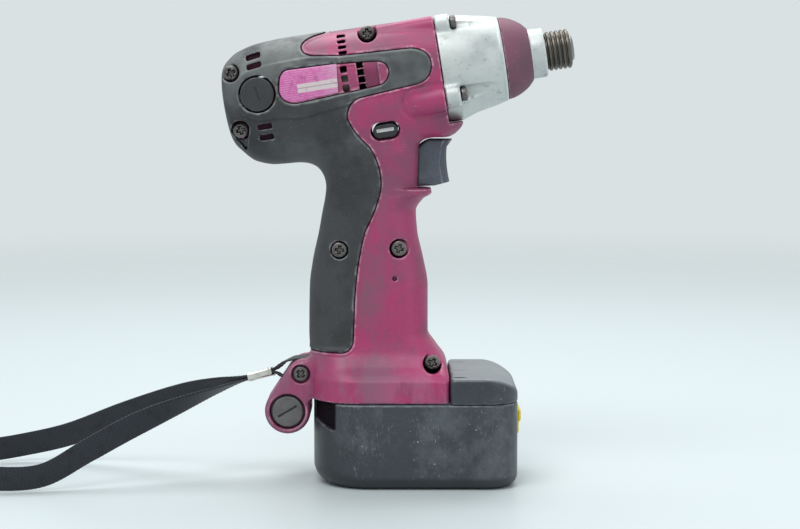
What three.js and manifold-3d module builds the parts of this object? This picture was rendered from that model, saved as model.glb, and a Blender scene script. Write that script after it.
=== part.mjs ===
// Cordless impact driver. Millimetres, +Z up, nose towards +X, mirror plane Y = 0.
// The origin is the middle of the battery's flat bottom.
import * as THREE from 'three';
import { mergeVertices } from 'three/addons/utils/BufferGeometryUtils.js';
import Module from 'manifold-3d';

const wasm = await Module();
wasm.setup();

// ---------------------------------------------------------------- driving dimensions
const GAP = 0.3;                 // clearance between touching pieces
const WALL = 2.6;                // moulded wall of the housing
const SPLIT = 0.15;              // each half stops this far from the middle plane

const HEAD_ORIGIN = new THREE.Vector3(11.8, 0, 205);   // axis point at the housing's front joint
const HEAD_TILT = 8.9;           // degrees nose-up

// barrel sections along its axis: [along, height above axis, depth below axis, half width]
const BARREL = [
  [-107.6, 10.5, 15, 18], [-105.8, 16.5, 21, 22.4], [-101, 21, 27.5, 25.4], [-90, 25.4, 33.7, 27.8],
  [-72, 26.7, 34.8, 28.6], [-45, 26.3, 33, 28.6], [0, 25.4, 26, 26.4],
];
const BARREL_SQUARENESS = 2.35;
const BARREL_SIDES = 18;

// handle and skirt sections: [height, rear x, front x, half width, rear radius, front radius]
const HANDLE = [
  [42.6, -52.2, 16.1, 33.6, 24, 3], [52.6, -52.2, 16.1, 33.6, 24, 3],
  [60, -52.3, 14.6, 26, 19, 8], [73, -53.1, 6, 20.8, 17, 14],
  [98, -52.7, 5.8, 20.2, 16, 15], [124, -48, 0.8, 19.6, 16, 15],
  [135, -46.2, -0.1, 19.8, 16, 15], [144, -44.6, 7.6, 20, 16, 13],
  [145.8, -44.4, 7.2, 20.2, 16, 13], [146.1, -44.4, 1, 20.2, 16, 14],
  [166, -52, 1, 24, 16, 14], [180, -60, 4, 24, 16, 14],
];
// chin under the nose, above the trigger, laid out as the handle is
const CHIN = [
  [171.3, -22, 16.8, 13.5, 6, 8], [173.5, -22, 19.6, 15.8, 6, 9],
  [177.5, -22, 22.8, 17.6, 6, 9], [181, -22, 24, 18, 6, 9],
];
const LUG_HALF_WIDTH = 14;
const LUG_RING = { x: -63.9, z: 35.4, radius: 11.4 };

const BATTERY = { rear: -50.8, front: 50, halfWidth: 35, rearRadius: 25, frontRadius: 16 };
const BATTERY_SEAM = 42.3;
const BATTERY_BLOCK = { rear: 16.5, top: 55 };
const STEM = { rear: -46.5, front: -1.5, halfWidth: 16.5, radius: 14, top: 99 };
const CELL = { radius: 11.2, height: 34 };

// housing screws, all driven from the right side: x, z, distance of the seat from the middle
const HOUSING_SCREWS = [
  { name: 'rear_top', x: -90.0, z: 202.6, seat: 17.5 },
  { name: 'rear_bottom', x: -85.4, z: 175.0, seat: 17.5 },
  { name: 'top', x: -24.0, z: 222.0, seat: 13 },
  { name: 'grip_rear', x: -37.7, z: 116.4, seat: 16 },
  { name: 'grip_front', x: -8.5, z: 117.1, seat: 16 },
  { name: 'base_front', x: 7.9, z: 61.2, seat: 20.5 },
  { name: 'lug', x: -57.2, z: 54.2, seat: 10.5 },
];
const SCREW = { headRadius: 3.7, headHeight: 2.6, shankRadius: 1.7, reach: 6, recess: 4.7, boss: 4.1 };

// case screws: sideways offset and height from the barrel axis
const CASE_SCREWS = [[-15, 21.2], [15, 21.2], [-21.5, -14], [21.5, -14]];
const CASE_BOSS = 5.2;
const CASE_SIDES = 20;

// brush caps: place on the barrel, radius, thickness and distance of the middle from the mirror plane
const BRUSH_CAP = { along: -89.5, height: 1.3, radius: 8.4, thickness: 6.5, middle: 24.9, bore: 8.9 };
// vents through both side walls: place on the barrel and size
const REAR_VENTS = [
  { along: -89.5, height: 17.4, length: 6.4, tall: 5.2 },
  { along: -88.8, height: -17, length: 6.4, tall: 5.2 },
];
const LOUVRE = { along: -35.6, height: 3.6, length: 3.6, tall: 10 };
const SIDE_SLOTS = { along: -45.8, height: 3, length: 2.4, tall: 10 };
const TOP_SLOTS = { along: -45.7, height: 24, length: 3.2, tall: 20 };

const GEAR = { module: 0.9, sun: 9, planet: 15, ring: 39 };
const GEAR_CENTRES = GEAR.module * (GEAR.sun + GEAR.planet) / 2;
const HEX_FLATS = 6.6;           // bit socket across flats

const TRIGGER_HALF_WIDTH = 9;
const BUTTON = { along: -31.2, height: -25.6, length: 12.2, width: 6.8, halfSpan: 25.4 };

const STRAP_WIDTH = 12.5;
const STRAP_THICKNESS = 1.2;
const STRAP_STEPS = 2;          // sections between neighbouring route points
// strap path: x, y, z and the roll of its flat face in degrees (0 lies flat, 90 stands on edge)
const STRAP_ROUTE = [
  [-63.5, 0.3, 50.6, 4], [-67.2, 0.4, 51.4, 6], [-71, 0.7, 53.1, 9], [-84.6, 1, 49.5, 9],
  [-97, -1.5, 45.3, 24], [-118, -9, 37.8, 55], [-140, -19, 29.2, 84], [-161, -28, 18.6, 84],
  [-182, -36, 8.0, 78], [-204, -39, 6.9, 84], [-226, -30, 6.9, 88], [-238, -4, 6.9, 90],
  [-230, 24, 7.0, 88], [-208, 36, 8.8, 84], [-182, 36, 14.6, 80], [-150, 28, 27.6, 76],
  [-122, 17, 38.4, 66], [-98, 5.5, 47.2, 30], [-84.6, 1, 51.0, 9], [-71, 0.8, 54.7, 9],
  [-65.6, 0.3, 58.6, 4], [-61.4, 0, 60.3, 0], [-57.6, 0, 60.7, 0], [-53.6, 0, 60.8, 0],
];
// metal band pressed round both runs of the strap
const CRIMP = {
  from: [-71.8, 0.8, 53.7], to: [-83.8, 1, 50.45], roll: 9, width: 14.8, thickness: 4.4, wall: 0.6,
};
// the strap's seat over the lug (x, z) and the slot that its lower end goes into
const STRAP_SEAT = [
  [-75, 72], [-52.9, 72], [-52.9, 59.9], [-57.2, 59.8], [-61.2, 59.2], [-64.4, 57.2], [-67.4, 53.4],
  [-75, 53.4],
];
const STRAP_SEAT_HALF = 6.9;
const STRAP_SLOT = { rear: -75, front: -62.5, bottom: 49.6, top: 52.6 };

// ---------------------------------------------------------------- materials
const material = (color, roughness, metalness) =>
  new THREE.MeshStandardMaterial({ color, roughness, metalness });
const M = {
  raspberry: material(0xa83a66, 0.55, 0),
  softGrip: material(0x3b3d3c, 0.8, 0),
  castAlloy: material(0xb9bcbc, 0.45, 1),
  bumper: material(0x8f4a68, 0.7, 0),
  blackPlastic: material(0x26282b, 0.5, 0),
  darkPlastic: material(0x17181a, 0.45, 0),
  darkSteel: material(0x55524e, 0.4, 1),
  steel: material(0x9a9a9c, 0.35, 1),
  copper: material(0xa8653a, 0.4, 1),
  magnet: material(0x39393b, 0.7, 0.3),
  plate: material(0x96427f, 0.4, 0),
  yellow: material(0xe0c414, 0.5, 0),
  carbon: material(0x202020, 0.8, 0),
  brass: material(0xb59a4c, 0.35, 1),
  sleeveWrap: material(0x2f6f8a, 0.5, 0),
  webbing: material(0x1b1c1e, 0.95, 0),
};

// ---------------------------------------------------------------- geometry helpers
const rad = THREE.MathUtils.degToRad;

/** A closed three.js geometry as a boolean solid. */
function solid(geometry, matrix) {
  const bare = geometry.clone();
  bare.deleteAttribute('normal');
  bare.deleteAttribute('uv');
  if (matrix) bare.applyMatrix4(matrix);
  const merged = mergeVertices(bare, 1e-4);
  return new wasm.Manifold(new wasm.Mesh({
    numProp: 3,
    vertProperties: new Float32Array(merged.attributes.position.array),
    triVerts: new Uint32Array(merged.index.array),
  }));
}

/** A boolean solid as a three.js geometry. */
function geometryOf(body) {
  const mesh = body.getMesh();
  const geometry = new THREE.BufferGeometry();
  geometry.setAttribute('position', new THREE.BufferAttribute(mesh.vertProperties, 3));
  geometry.setIndex(new THREE.BufferAttribute(mesh.triVerts, 1));
  geometry.computeVertexNormals();
  return geometry;
}

/** Joins rings of equal point count into a closed skin with fan caps. */
function loft(rings) {
  const count = rings[0].length;
  const points = rings.flat();
  const faces = [];
  for (let r = 0; r + 1 < rings.length; r++) {
    for (let i = 0; i < count; i++) {
      const a = r * count + i;
      const b = r * count + (i + 1) % count;
      faces.push(a, b, a + count, b, b + count, a + count);
    }
  }
  for (const [first, flip] of [[0, true], [(rings.length - 1) * count, false]]) {
    const centre = new THREE.Vector3();
    for (let i = 0; i < count; i++) centre.addScaledVector(points[first + i], 1 / count);
    points.push(centre);
    const hub = points.length - 1;
    for (let i = 0; i < count; i++) {
      const a = first + i;
      const b = first + (i + 1) % count;
      faces.push(...(flip ? [b, a, hub] : [a, b, hub]));
    }
  }
  const geometry = new THREE.BufferGeometry().setFromPoints(points);
  geometry.setIndex(volumeOf(points, faces) < 0 ? faces.reverse() : faces);
  geometry.computeVertexNormals();
  return geometry;
}

function volumeOf(points, faces) {
  let sum = 0;
  for (let i = 0; i < faces.length; i += 3) {
    const cross = new THREE.Vector3().crossVectors(points[faces[i + 1]], points[faces[i + 2]]);
    sum += points[faces[i]].dot(cross);
  }
  return sum;
}

/** Level ring with rounded corners: rear x, front x, half width, rear and front corner radii. */
function planRing(z, rear, front, half, rearRadius, frontRadius, inset = 0, steps = 3) {
  const corners = [
    [front - frontRadius, half - frontRadius, frontRadius, 0],
    [rear + rearRadius, half - rearRadius, rearRadius, 90],
    [rear + rearRadius, rearRadius - half, rearRadius, 180],
    [front - frontRadius, frontRadius - half, frontRadius, 270],
  ];
  const ring = [];
  for (const [x, y, radius, from] of corners) {
    const r = Math.max(radius - inset, 0.4);
    const shift = radius - inset - r;
    for (let i = 0; i <= steps; i++) {
      const a = rad(from + 90 * i / steps);
      const middle = rad(from + 45);
      ring.push(new THREE.Vector3(
        x + r * Math.cos(a) + shift * Math.SQRT2 * Math.cos(middle),
        y + r * Math.sin(a) + shift * Math.SQRT2 * Math.sin(middle), z));
    }
  }
  return ring;
}

const planLoft = (rows, inset = 0) => loft(rows.map((row) => planRing(...row, inset)));

/** Barrel form in the barrel's own frame, x along its axis, shrunk by inset. */
function barrelForm(inset, frontEnd) {
  const rings = BARREL.map(([along, up, down, half]) => {
    const x = along === 0 ? frontEnd : along + inset;
    const ring = [];
    for (let i = 0; i < BARREL_SIDES; i++) {
      const a = 2 * Math.PI * i / BARREL_SIDES;
      const y = Math.sign(Math.cos(a)) * Math.abs(Math.cos(a)) ** (2 / BARREL_SQUARENESS);
      const z = Math.sign(Math.sin(a)) * Math.abs(Math.sin(a)) ** (2 / BARREL_SQUARENESS);
      ring.push(new THREE.Vector3(x, y * (half - inset), z * ((z > 0 ? up : down) - inset)));
    }
    return ring;
  });
  return loft(rings);
}

/** Turned piece about X from [along, radius] points that start and end on the axis or close. */
function turned(profile, segments = 20) {
  const points = profile.map(([along, radius]) => new THREE.Vector2(radius, along));
  return new THREE.LatheGeometry(points, segments).rotateZ(-Math.PI / 2);
}

const closed = (profile) => [...profile, profile[0]];

/** Tube about X between two stations. */
const tube = (from, to, outer, inner, segments = 20) =>
  turned(closed([[from, inner], [from, outer], [to, outer], [to, inner]]), segments);

const rod = (from, to, radius, segments = 16) =>
  turned([[from, 0], [from, radius], [to, radius], [to, 0]], segments);

/** Side outline (x, z) pushed sideways from y0 to y1. */
function sidePrism(shape, y0, y1, curveSegments = 5) {
  const depth = y1 - y0;
  const geometry = new THREE.ExtrudeGeometry(shape, { depth, bevelEnabled: false, curveSegments });
  return geometry.rotateX(Math.PI / 2).translate(0, y1, 0);
}

const polygon = (points) => new THREE.Shape(points.map(([x, y]) => new THREE.Vector2(x, y)));

/** Rod along Y. */
const crossRod = (x, z, y0, y1, radius, segments = 12) =>
  new THREE.CylinderGeometry(radius, radius, y1 - y0, segments).translate(x, (y0 + y1) / 2, z);

const box = (x0, x1, y0, y1, z0, z1) => new THREE.BoxGeometry(x1 - x0, y1 - y0, z1 - z0)
  .translate((x0 + x1) / 2, (y0 + y1) / 2, (z0 + z1) / 2);

/** Outline of a gear with straight-sided teeth, a tooth centred on angle zero. */
function gearPoints(teeth, root, tip, rootShare, tipShare) {
  const points = [];
  for (let i = 0; i < teeth; i++) {
    const middle = 2 * Math.PI * i / teeth;
    const pitch = Math.PI / teeth;
    const corners = [[root, -rootShare], [tip, -tipShare], [tip, tipShare], [root, rootShare]];
    for (const [radius, share] of corners) {
      const a = middle + pitch * share;
      points.push([radius * Math.cos(a), radius * Math.sin(a)]);
    }
  }
  return points;
}

/** Flat outline in the barrel's cross plane (y, z) pushed along its axis. */
function axialPrism(shape, from, to, curveSegments = 6) {
  const depth = to - from;
  const geometry = new THREE.ExtrudeGeometry(shape, { depth, bevelEnabled: false, curveSegments });
  return geometry.applyMatrix4(new THREE.Matrix4().set(0, 0, 1, from, 1, 0, 0, 0, 0, 1, 0, 0, 0, 0, 0, 1));
}

/** Ring sector outline between two radii, centred on an angle. */
function sector(inner, outer, middle, spread) {
  const shape = new THREE.Shape();
  shape.absarc(0, 0, outer, rad(middle - spread / 2), rad(middle + spread / 2), false);
  shape.absarc(0, 0, inner, rad(middle + spread / 2), rad(middle - spread / 2), true);
  return shape;
}

/** Open coil about X, made as a wire swept along a helix. */
function coil(from, to, radius, wire, turns, stepsPerTurn = 8) {
  const points = [];
  const steps = turns * stepsPerTurn;
  for (let i = 0; i <= steps; i++) {
    const a = 2 * Math.PI * i / stepsPerTurn;
    const x = from + wire + (to - from - 2 * wire) * i / steps;
    points.push(new THREE.Vector3(x, radius * Math.cos(a), radius * Math.sin(a)));
  }
  const section = new THREE.Shape().absarc(0, 0, wire, 0, 2 * Math.PI, false);
  return new THREE.ExtrudeGeometry(section, {
    steps, curveSegments: 2, bevelEnabled: false, extrudePath: new THREE.CatmullRomCurve3(points),
  });
}

// ---------------------------------------------------------------- scene graph
const group = new THREE.Group();
const head = new THREE.Group();
head.position.copy(HEAD_ORIGIN);
head.rotation.y = -rad(HEAD_TILT);
group.add(head);
head.updateMatrix();
const HEAD_MATRIX = head.matrix;

function add(name, shape, look, parent = group) {
  const geometry = shape.isBufferGeometry ? shape : geometryOf(shape);
  const mesh = new THREE.Mesh(geometry, look);
  mesh.name = name;
  parent.add(mesh);
  return mesh;
}

const headSolid = (geometry) => solid(geometry, HEAD_MATRIX);
const union = (...bodies) => bodies.reduce((all, body) => all.add(body));

// ---------------------------------------------------------------- outer forms
function lugShape() {
  const { x, z, radius } = LUG_RING;
  const shape = new THREE.Shape();
  shape.moveTo(-46, 62);
  shape.lineTo(-56.5, 61.5);
  shape.quadraticCurveTo(-61.5, 60.5, -64.7, 55);
  shape.lineTo(x - radius * Math.cos(rad(38)), z + radius * Math.sin(rad(38)));
  shape.absarc(x, z, radius, rad(142), rad(368), false);
  shape.lineTo(-52.5, 43.2);
  shape.lineTo(-46, 43.2);
  return shape;
}

function outerForm(inset) {
  return union(
    headSolid(barrelForm(inset, inset > 0 ? 1 : 0)),
    solid(planLoft(HANDLE, inset)),
  );
}

/** Two-dimensional limit of the soft grip, seen from the side. */
function gripShape(margin) {
  const m = margin;
  const shape = new THREE.Shape();
  shape.moveTo(-110, 228);
  shape.lineTo(-62 + m, 224 + m);
  shape.lineTo(-54.5 + m, 216);
  shape.lineTo(-51 + m, 210.5 + m);
  shape.lineTo(-30, 212.2 + m);
  shape.lineTo(-3, 214.6 + m);
  shape.quadraticCurveTo(7 + m, 214 + m, 7 + m, 206);
  shape.quadraticCurveTo(7 + m, 198.5 - m, -3, 196.8 - m);
  shape.lineTo(-27 + m, 191 - m);
  shape.quadraticCurveTo(-33.5 + m, 189, -33.5 + m, 181);
  shape.quadraticCurveTo(-31, 174, -23 + m, 167);
  shape.quadraticCurveTo(-16.8 + m, 158, -17.3 + m, 147);
  shape.quadraticCurveTo(-19, 137, -25 + m, 126);
  shape.quadraticCurveTo(-30 + m, 108, -30.6 + m, 84);
  shape.lineTo(-31 + m, 72);
  shape.quadraticCurveTo(-31.5 + m, 66.2 - m, -37, 66 - m);
  shape.lineTo(-60, 66.4 - m);
  shape.lineTo(-60, 150);
  shape.lineTo(-110, 150);
  return shape;
}

/** Window in the soft grip that shows the housing, the plate and the louvres. */
function windowShape(margin) {
  const m = margin;
  return polygon([
    [-66.5 - m, 199], [-64.5 - m, 204 + m], [-45, 206.8 + m], [-20, 208.6 + m], [-14.6 + m, 206.5],
    [-13.2 + m, 202.6], [-15 + m, 198.4], [-19.5, 196.2 - m], [-57.6, 187.9 - m], [-62.8 - m, 189],
    [-66 - m, 193],
  ]);
}

// ---------------------------------------------------------------- housing halves
function caseBosses(radius, from, to, segments = 8) {
  const bodies = CASE_SCREWS.map(([y, z]) => headSolid(rod(from, to, radius, segments).translate(0, y, z)));
  return union(...bodies);
}

function housingBody() {
  let body = union(
    outerForm(0),
    solid(planLoft(CHIN)),
    solid(sidePrism(lugShape(), -LUG_HALF_WIDTH, LUG_HALF_WIDTH)),
    caseBosses(CASE_BOSS, -18, 0),
  );
  const clearOfCase = headSolid(rod(0, 40, 26.2, CASE_SIDES));
  const cavity = outerForm(WALL);
  const skirtMouth = solid(planLoft([[42, ...HANDLE[0].slice(1)], [47, ...HANDLE[0].slice(1)]], WALL));
  body = body.subtract(clearOfCase).subtract(cavity).subtract(skirtMouth);
  body = body.subtract(headSolid(rod(-12, 2, 22.9, CASE_SIDES)));

  // screw bosses reach from the wall to the middle plane
  const inside = outerForm(1);
  for (const { x, z, seat, name } of HOUSING_SCREWS) {
    if (name === 'lug') continue;
    const radius = name === 'top' ? 4.4 : SCREW.boss;
    const post = solid(crossRod(x, z, -seat - 3, seat + 3, radius, 8));
    body = body.add(post.intersect(inside));
  }
  for (const { x, z, seat } of HOUSING_SCREWS) {
    body = body.subtract(solid(crossRod(x, z, -40, -seat, SCREW.recess, 10)));
    const tip = SCREW.reach + 1;
    body = body.subtract(solid(crossRod(x, z, -seat - 1, tip, SCREW.shankRadius + 0.5, 6)));
  }

  // front: trigger opening, reverse button, case screw holes
  const openings = union(
    solid(box(-9, 22, -TRIGGER_HALF_WIDTH - GAP, TRIGGER_HALF_WIDTH + GAP, 146.4, 171.2)),
    headSolid(buttonPrism(GAP, 40)),
    caseBosses(2.3, -15, 1, 6),
  );
  body = body.subtract(openings);

  // lug: coin screw recess and bore
  const { x, z } = LUG_RING;
  body = body.subtract(solid(crossRod(x, z, -LUG_HALF_WIDTH - 1, -9, 8.9, 14)));
  body = body.subtract(solid(crossRod(x, z, -10, 7, 4.6, 8)));
  body = body.subtract(solid(sidePrism(polygon(STRAP_SEAT), -STRAP_SEAT_HALF, STRAP_SEAT_HALF)));
  body = body.subtract(solid(box(STRAP_SLOT.rear, STRAP_SLOT.front, -STRAP_SEAT_HALF, STRAP_SEAT_HALF,
    STRAP_SLOT.bottom, STRAP_SLOT.top)));

  // brush cap bores and vents
  const louvreRight = ventBox({ ...LOUVRE, length: 8.6 }, -40, -2);
  const cuts = [
    brushBore(-40, -20), brushBore(20, 40), ventBox(TOP_SLOTS, -40, -21), louvreRight,
    ventBox(LOUVRE, 2, 40), ventBox(SIDE_SLOTS, -40, -2),
  ];
  for (const vent of REAR_VENTS) cuts.push(ventBox(vent, -40, -2), ventBox(vent, 2, 40));
  for (const cut of cuts) body = body.subtract(headSolid(cut));
  return body;
}

/** Block that cuts a vent between two distances from the mirror plane, enlarged by a margin. */
function ventBox({ along, height, length, tall }, y0, y1, margin = 0) {
  const x = length / 2 + margin;
  const z = tall / 2 + margin;
  return box(along - x, along + x, y0, y1, height - z, height + z);
}

const brushBore = (y0, y1, margin = 0) =>
  crossRod(BRUSH_CAP.along, BRUSH_CAP.height, y0, y1, BRUSH_CAP.bore + margin, 14);

function buttonPrism(margin, halfSpan) {
  const half = BUTTON.length / 2 - BUTTON.width / 2;
  const radius = BUTTON.width / 2 + margin;
  const shape = new THREE.Shape();
  shape.absarc(half, 0, radius, -Math.PI / 2, Math.PI / 2, false);
  shape.absarc(-half, 0, radius, Math.PI / 2, 3 * Math.PI / 2, false);
  return sidePrism(shape, -halfSpan, halfSpan, 6).translate(BUTTON.along, 0, BUTTON.height);
}

function half(body, side) {
  const far = 60;
  const keep = side < 0 ? box(-150, 80, -far, -SPLIT, -5, 260) : box(-150, 80, SPLIT, far, -5, 260);
  return body.intersect(solid(keep));
}

const GRIP_THICKNESS = 1.6;
const body = housingBody();
const gripCore = outerForm(GRIP_THICKNESS);
const pocketCore = outerForm(GRIP_THICKNESS + GAP);
const gripZone = solid(sidePrism(gripShape(0), -60, 60, 2))
  .subtract(solid(sidePrism(windowShape(0), -60, 60, 4)));
const pocketZone = solid(sidePrism(gripShape(GAP), -60, 60, 2))
  .subtract(solid(sidePrism(windowShape(-GAP), -60, 60, 4)));
const pocketed = body.subtract(outerForm(-0.4).subtract(pocketCore).intersect(pocketZone));
const gripSkin = outerForm(0).subtract(gripCore).intersect(gripZone);

add('housing_right', half(pocketed, -1), M.raspberry);
add('housing_left', half(pocketed, 1), M.raspberry);

function gripHalf(side) {
  let skin = half(gripSkin, side);
  const holes = [
    headSolid(brushBore(-60, 60, GAP)),
    ...REAR_VENTS.map((vent) => headSolid(ventBox(vent, -60, 60, 0.2))),
  ];
  if (side < 0) {
    for (const { x, z } of HOUSING_SCREWS) holes.push(solid(crossRod(x, z, -60, 0, SCREW.recess + 0.2, 10)));
  }
  for (const hole of holes) skin = skin.subtract(hole);
  return skin;
}
add('grip_right', gripHalf(-1), M.softGrip);
add('grip_left', gripHalf(1), M.softGrip);

// rating plate, sunk in the window of the right grip
const plateZone = solid(sidePrism(polygon([
  [-65.2, 198], [-63.4, 203], [-39.4, 206.6], [-38.2, 193.2], [-57.4, 189], [-62.4, 190], [-64.9, 193.4],
]), -60, 0));
const plateSkin = outerForm(-0.9).subtract(outerForm(-GAP)).intersect(plateZone);
add('rating_plate', plateSkin, M.plate);

// ---------------------------------------------------------------- fasteners
function screwGeometry(headRadius, headHeight, shankRadius, length) {
  return turned([
    [0, 0], [0, headRadius * 0.72], [0.8, headRadius], [headHeight, headRadius],
    [headHeight, shankRadius], [length - 1, shankRadius], [length, shankRadius * 0.4], [length, 0],
  ], 10);
}

for (const { name, x, z, seat } of HOUSING_SCREWS) {
  const screw = add(`housing_screw_${name}`,
    screwGeometry(SCREW.headRadius, SCREW.headHeight, SCREW.shankRadius, seat + SCREW.reach), M.darkSteel);
  screw.rotation.z = Math.PI / 2;
  screw.position.set(x, -seat - SCREW.headHeight - GAP, z);
}

CASE_SCREWS.forEach(([y, z], i) => {
  const screw = add(`case_screw_${i + 1}`, screwGeometry(3.4, 2.8, 1.8, 21), M.darkSteel, head);
  screw.rotation.z = Math.PI;
  screw.position.set(10.6, y, z);
});

// ---------------------------------------------------------------- nose
let caseBody = solid(turned(closed([
  [GAP, 25.2], [12, 24.3], [22, 22.6], [31.3, 20.4], [31.3, 19.2], [38, 16.5], [45.3, 12.2],
  [52.3, 12.2], [52.3, 9.8], [32.3, 9.8], [32.3, 17.5], [20, 20.2], [GAP, 20.9],
  [-3.8, 20.9], [-3.8, 22.4], [GAP, 22.4],
]), CASE_SIDES));
for (const [y, z] of CASE_SCREWS) {
  const boss = solid(rod(GAP, 7.5, CASE_BOSS, 10).translate(0, y, z));
  caseBody = caseBody.add(boss.subtract(solid(rod(-5, 9, 21, CASE_SIDES))));
  caseBody = caseBody.subtract(solid(rod(-1, 9, 2.2, 6).translate(0, y, z)));
}
for (const [y, z] of CASE_SCREWS) {
  caseBody = caseBody.subtract(solid(rod(7.5, 11.2, 4.1, 10).translate(0, y, z)));
}
add('hammer_case', caseBody, M.castAlloy, head);

add('nose_bumper', turned(closed([
  [31.6, 20.3], [37, 18.9], [42, 16], [45, 12.9], [45, 12.75], [38.2, 16.8], [31.6, 19.5],
]), CASE_SIDES), M.bumper, head);

// ---------------------------------------------------------------- chuck
const anvilBody = (() => {
  let anvil = solid(turned([
    [26.4, 0], [26.4, 7], [31.7, 7], [31.7, 6.3], [65.6, 6.3], [66.4, 5.6], [66.4, 0],
  ], 16));
  for (const middle of [0, 180]) anvil = anvil.add(solid(axialPrism(sector(5, 17.2, middle, 34), 27, 31.7)));
  const hexRadius = HEX_FLATS / 2 / Math.cos(Math.PI / 6);
  anvil = anvil.subtract(solid(rod(42, 67, hexRadius, 6)));
  for (const from of [-8, 2]) anvil = anvil.subtract(solid(crossRod(58.8, 0, from, from + 6, 1.75, 10)));
  return anvil;
})();
add('anvil', anvilBody, M.steel, head);
add('anvil_bush', tube(33, 52, 9.5, 6.6, 16), M.brass, head);

const sleeveOuter = [];
const RIBS = 4;
const RIB_PITCH = 2.5;
for (let i = 0; i < RIBS; i++) {
  const s = 54 + i * RIB_PITCH;
  sleeveOuter.push([s, 8.9], [s + 0.5, 9.7], [s + 1.7, 9.7]);
}
add('guide_sleeve', turned(closed([
  [53, 9.1], ...sleeveOuter, [64.2, 8.9], [65, 8.2], [65, 7.9], [60.4, 7.9], [60.4, 6.7],
  [56.5, 6.7], [56.5, 8.2], [53, 8.2],
]), 16), M.darkSteel, head);
add('sleeve_spring', coil(60.7, 64.8, 7.2, 0.35, 3), M.steel, head);
for (const [name, side] of [['bit_ball_right', -1], ['bit_ball_left', 1]]) {
  const ball = add(name, new THREE.IcosahedronGeometry(1.4, 1), M.steel, head);
  ball.position.set(58.8, side * 5.0, 0);
}

// ---------------------------------------------------------------- impact mechanism
const CAM = { radius: 7.3, ball: 2.3, restAt: 19, travel: 7, turn: -40 };

/** Channel that a cam ball runs in, from its rest place back along the spindle. */
function camChannel(startAngle) {
  const points = [];
  for (let i = 0; i <= 5; i++) {
    const share = -0.45 + 1.9 * i / 5;
    const a = rad(startAngle + CAM.turn * share);
    points.push(new THREE.Vector3(CAM.restAt - CAM.travel * share,
      CAM.radius * Math.cos(a), CAM.radius * Math.sin(a)));
  }
  const section = new THREE.Shape().absarc(0, 0, CAM.ball + 0.6, 0, 2 * Math.PI, false);
  return new THREE.ExtrudeGeometry(section, {
    steps: 5, curveSegments: 4, bevelEnabled: false, extrudePath: new THREE.CatmullRomCurve3(points),
  });
}

const spindleBody = (() => {
  let spindle = solid(tube(-22.4, -19.6, 16.6, 5.2, 24));
  spindle = spindle.add(solid(turned([
    [-8.4, 0], [-8.4, 16.6], [-5.6, 16.6], [-5.6, 10], [-1, 10], [-1, 6.6], [25.6, 6.6], [26, 6.2], [26, 0],
  ], 24)));
  for (const side of [-1, 1]) {
    spindle = spindle.add(solid(rod(-21, -7, 2.2, 10).translate(0, side * GEAR_CENTRES, 0)));
    spindle = spindle.add(solid(box(-21, -7, -2.5, 2.5, side * 13 - 1.8, side * 13 + 1.8)));
    spindle = spindle.subtract(solid(camChannel(side < 0 ? 180 : 0)));
  }
  return spindle.subtract(solid(rod(-9, -6.8, 5, 16)));
})();
add('spindle', spindleBody, M.steel, head);
add('spindle_bearing', tube(-5, -1.4, 16, 10.3, 16), M.steel, head);

const hammerBody = (() => {
  let hammer = solid(turned(closed([
    [9, 15], [9, 18.2], [21, 18.2], [26.2, 17.4], [26.2, 6.9], [9, 6.9], [9, 9.4], [16, 9.4], [16, 15],
  ]), 20));
  for (const middle of [136, 316]) {
    hammer = hammer.add(solid(axialPrism(sector(10.5, 17, middle, 48), 25, 31)));
  }
  for (const side of [-1, 1]) {
    const from = side < 0 ? -9.9 : 5;
    hammer = hammer.subtract(solid(crossRod(CAM.restAt, 0, from, from + 4.9, 2.75, 10)));
  }
  return hammer;
})();
add('hammer', hammerBody, M.steel, head);
for (const [name, side] of [['cam_ball_right', -1], ['cam_ball_left', 1]]) {
  const ball = add(name, new THREE.IcosahedronGeometry(CAM.ball, 1), M.steel, head);
  ball.position.set(CAM.restAt, side * CAM.radius, 0);
}
add('spring_washer', tube(-0.6, 0.6, 15, 6.95, 16), M.steel, head);
add('hammer_spring', coil(0.9, 15.7, 12.2, 1.1, 4), M.steel, head);

// ---------------------------------------------------------------- planetary gear
const { module: mod, sun, planet, ring } = GEAR;
const ringShape = new THREE.Shape().absarc(0, 0, 22, 0, 2 * Math.PI, false);
const innerTeeth = gearPoints(ring, mod * ring / 2 + 1.05, mod * ring / 2 - 0.45, 0.36, 0.2)
  .map(([x, y]) => [x * Math.cos(Math.PI / ring) - y * Math.sin(Math.PI / ring),
    x * Math.sin(Math.PI / ring) + y * Math.cos(Math.PI / ring)]);
ringShape.holes.push(new THREE.Path(innerTeeth.map(([x, y]) => new THREE.Vector2(x, y))));
add('ring_gear', axialPrism(ringShape, -21.5, -9.5, 8), M.steel, head);
for (const [name, side] of [['planet_gear_right', -1], ['planet_gear_left', 1]]) {
  const shape = polygon(gearPoints(planet, mod * planet / 2 - 1.05, mod * planet / 2 + 0.45, 0.5, 0.2));
  shape.holes.push(new THREE.Path().absarc(0, 0, 2.9, 0, 2 * Math.PI, true));
  const gear = add(name, axialPrism(shape, -19.2, -8.8, 4), M.steel, head);
  gear.position.set(0, side * GEAR_CENTRES, 0);
}

// ---------------------------------------------------------------- motor
const shaftBody = union(
  solid(rod(-104, -12, 2.5, 12)),
  solid(axialPrism(polygon(gearPoints(sun, mod * sun / 2 - 1.05, mod * sun / 2 + 0.45, 0.5, 0.2)), -24, -12)),
);
add('motor_shaft', shaftBody, M.steel, head);
const armatureBody = union(
  solid(tube(-80, -46, 15.2, 2.8, 12)),
  solid(tube(-84, -44, 12.6, 2.8, 12)),
  solid(tube(-96, -83, 9, 2.8, 12)),
);
add('armature', armatureBody, M.copper, head);

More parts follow.
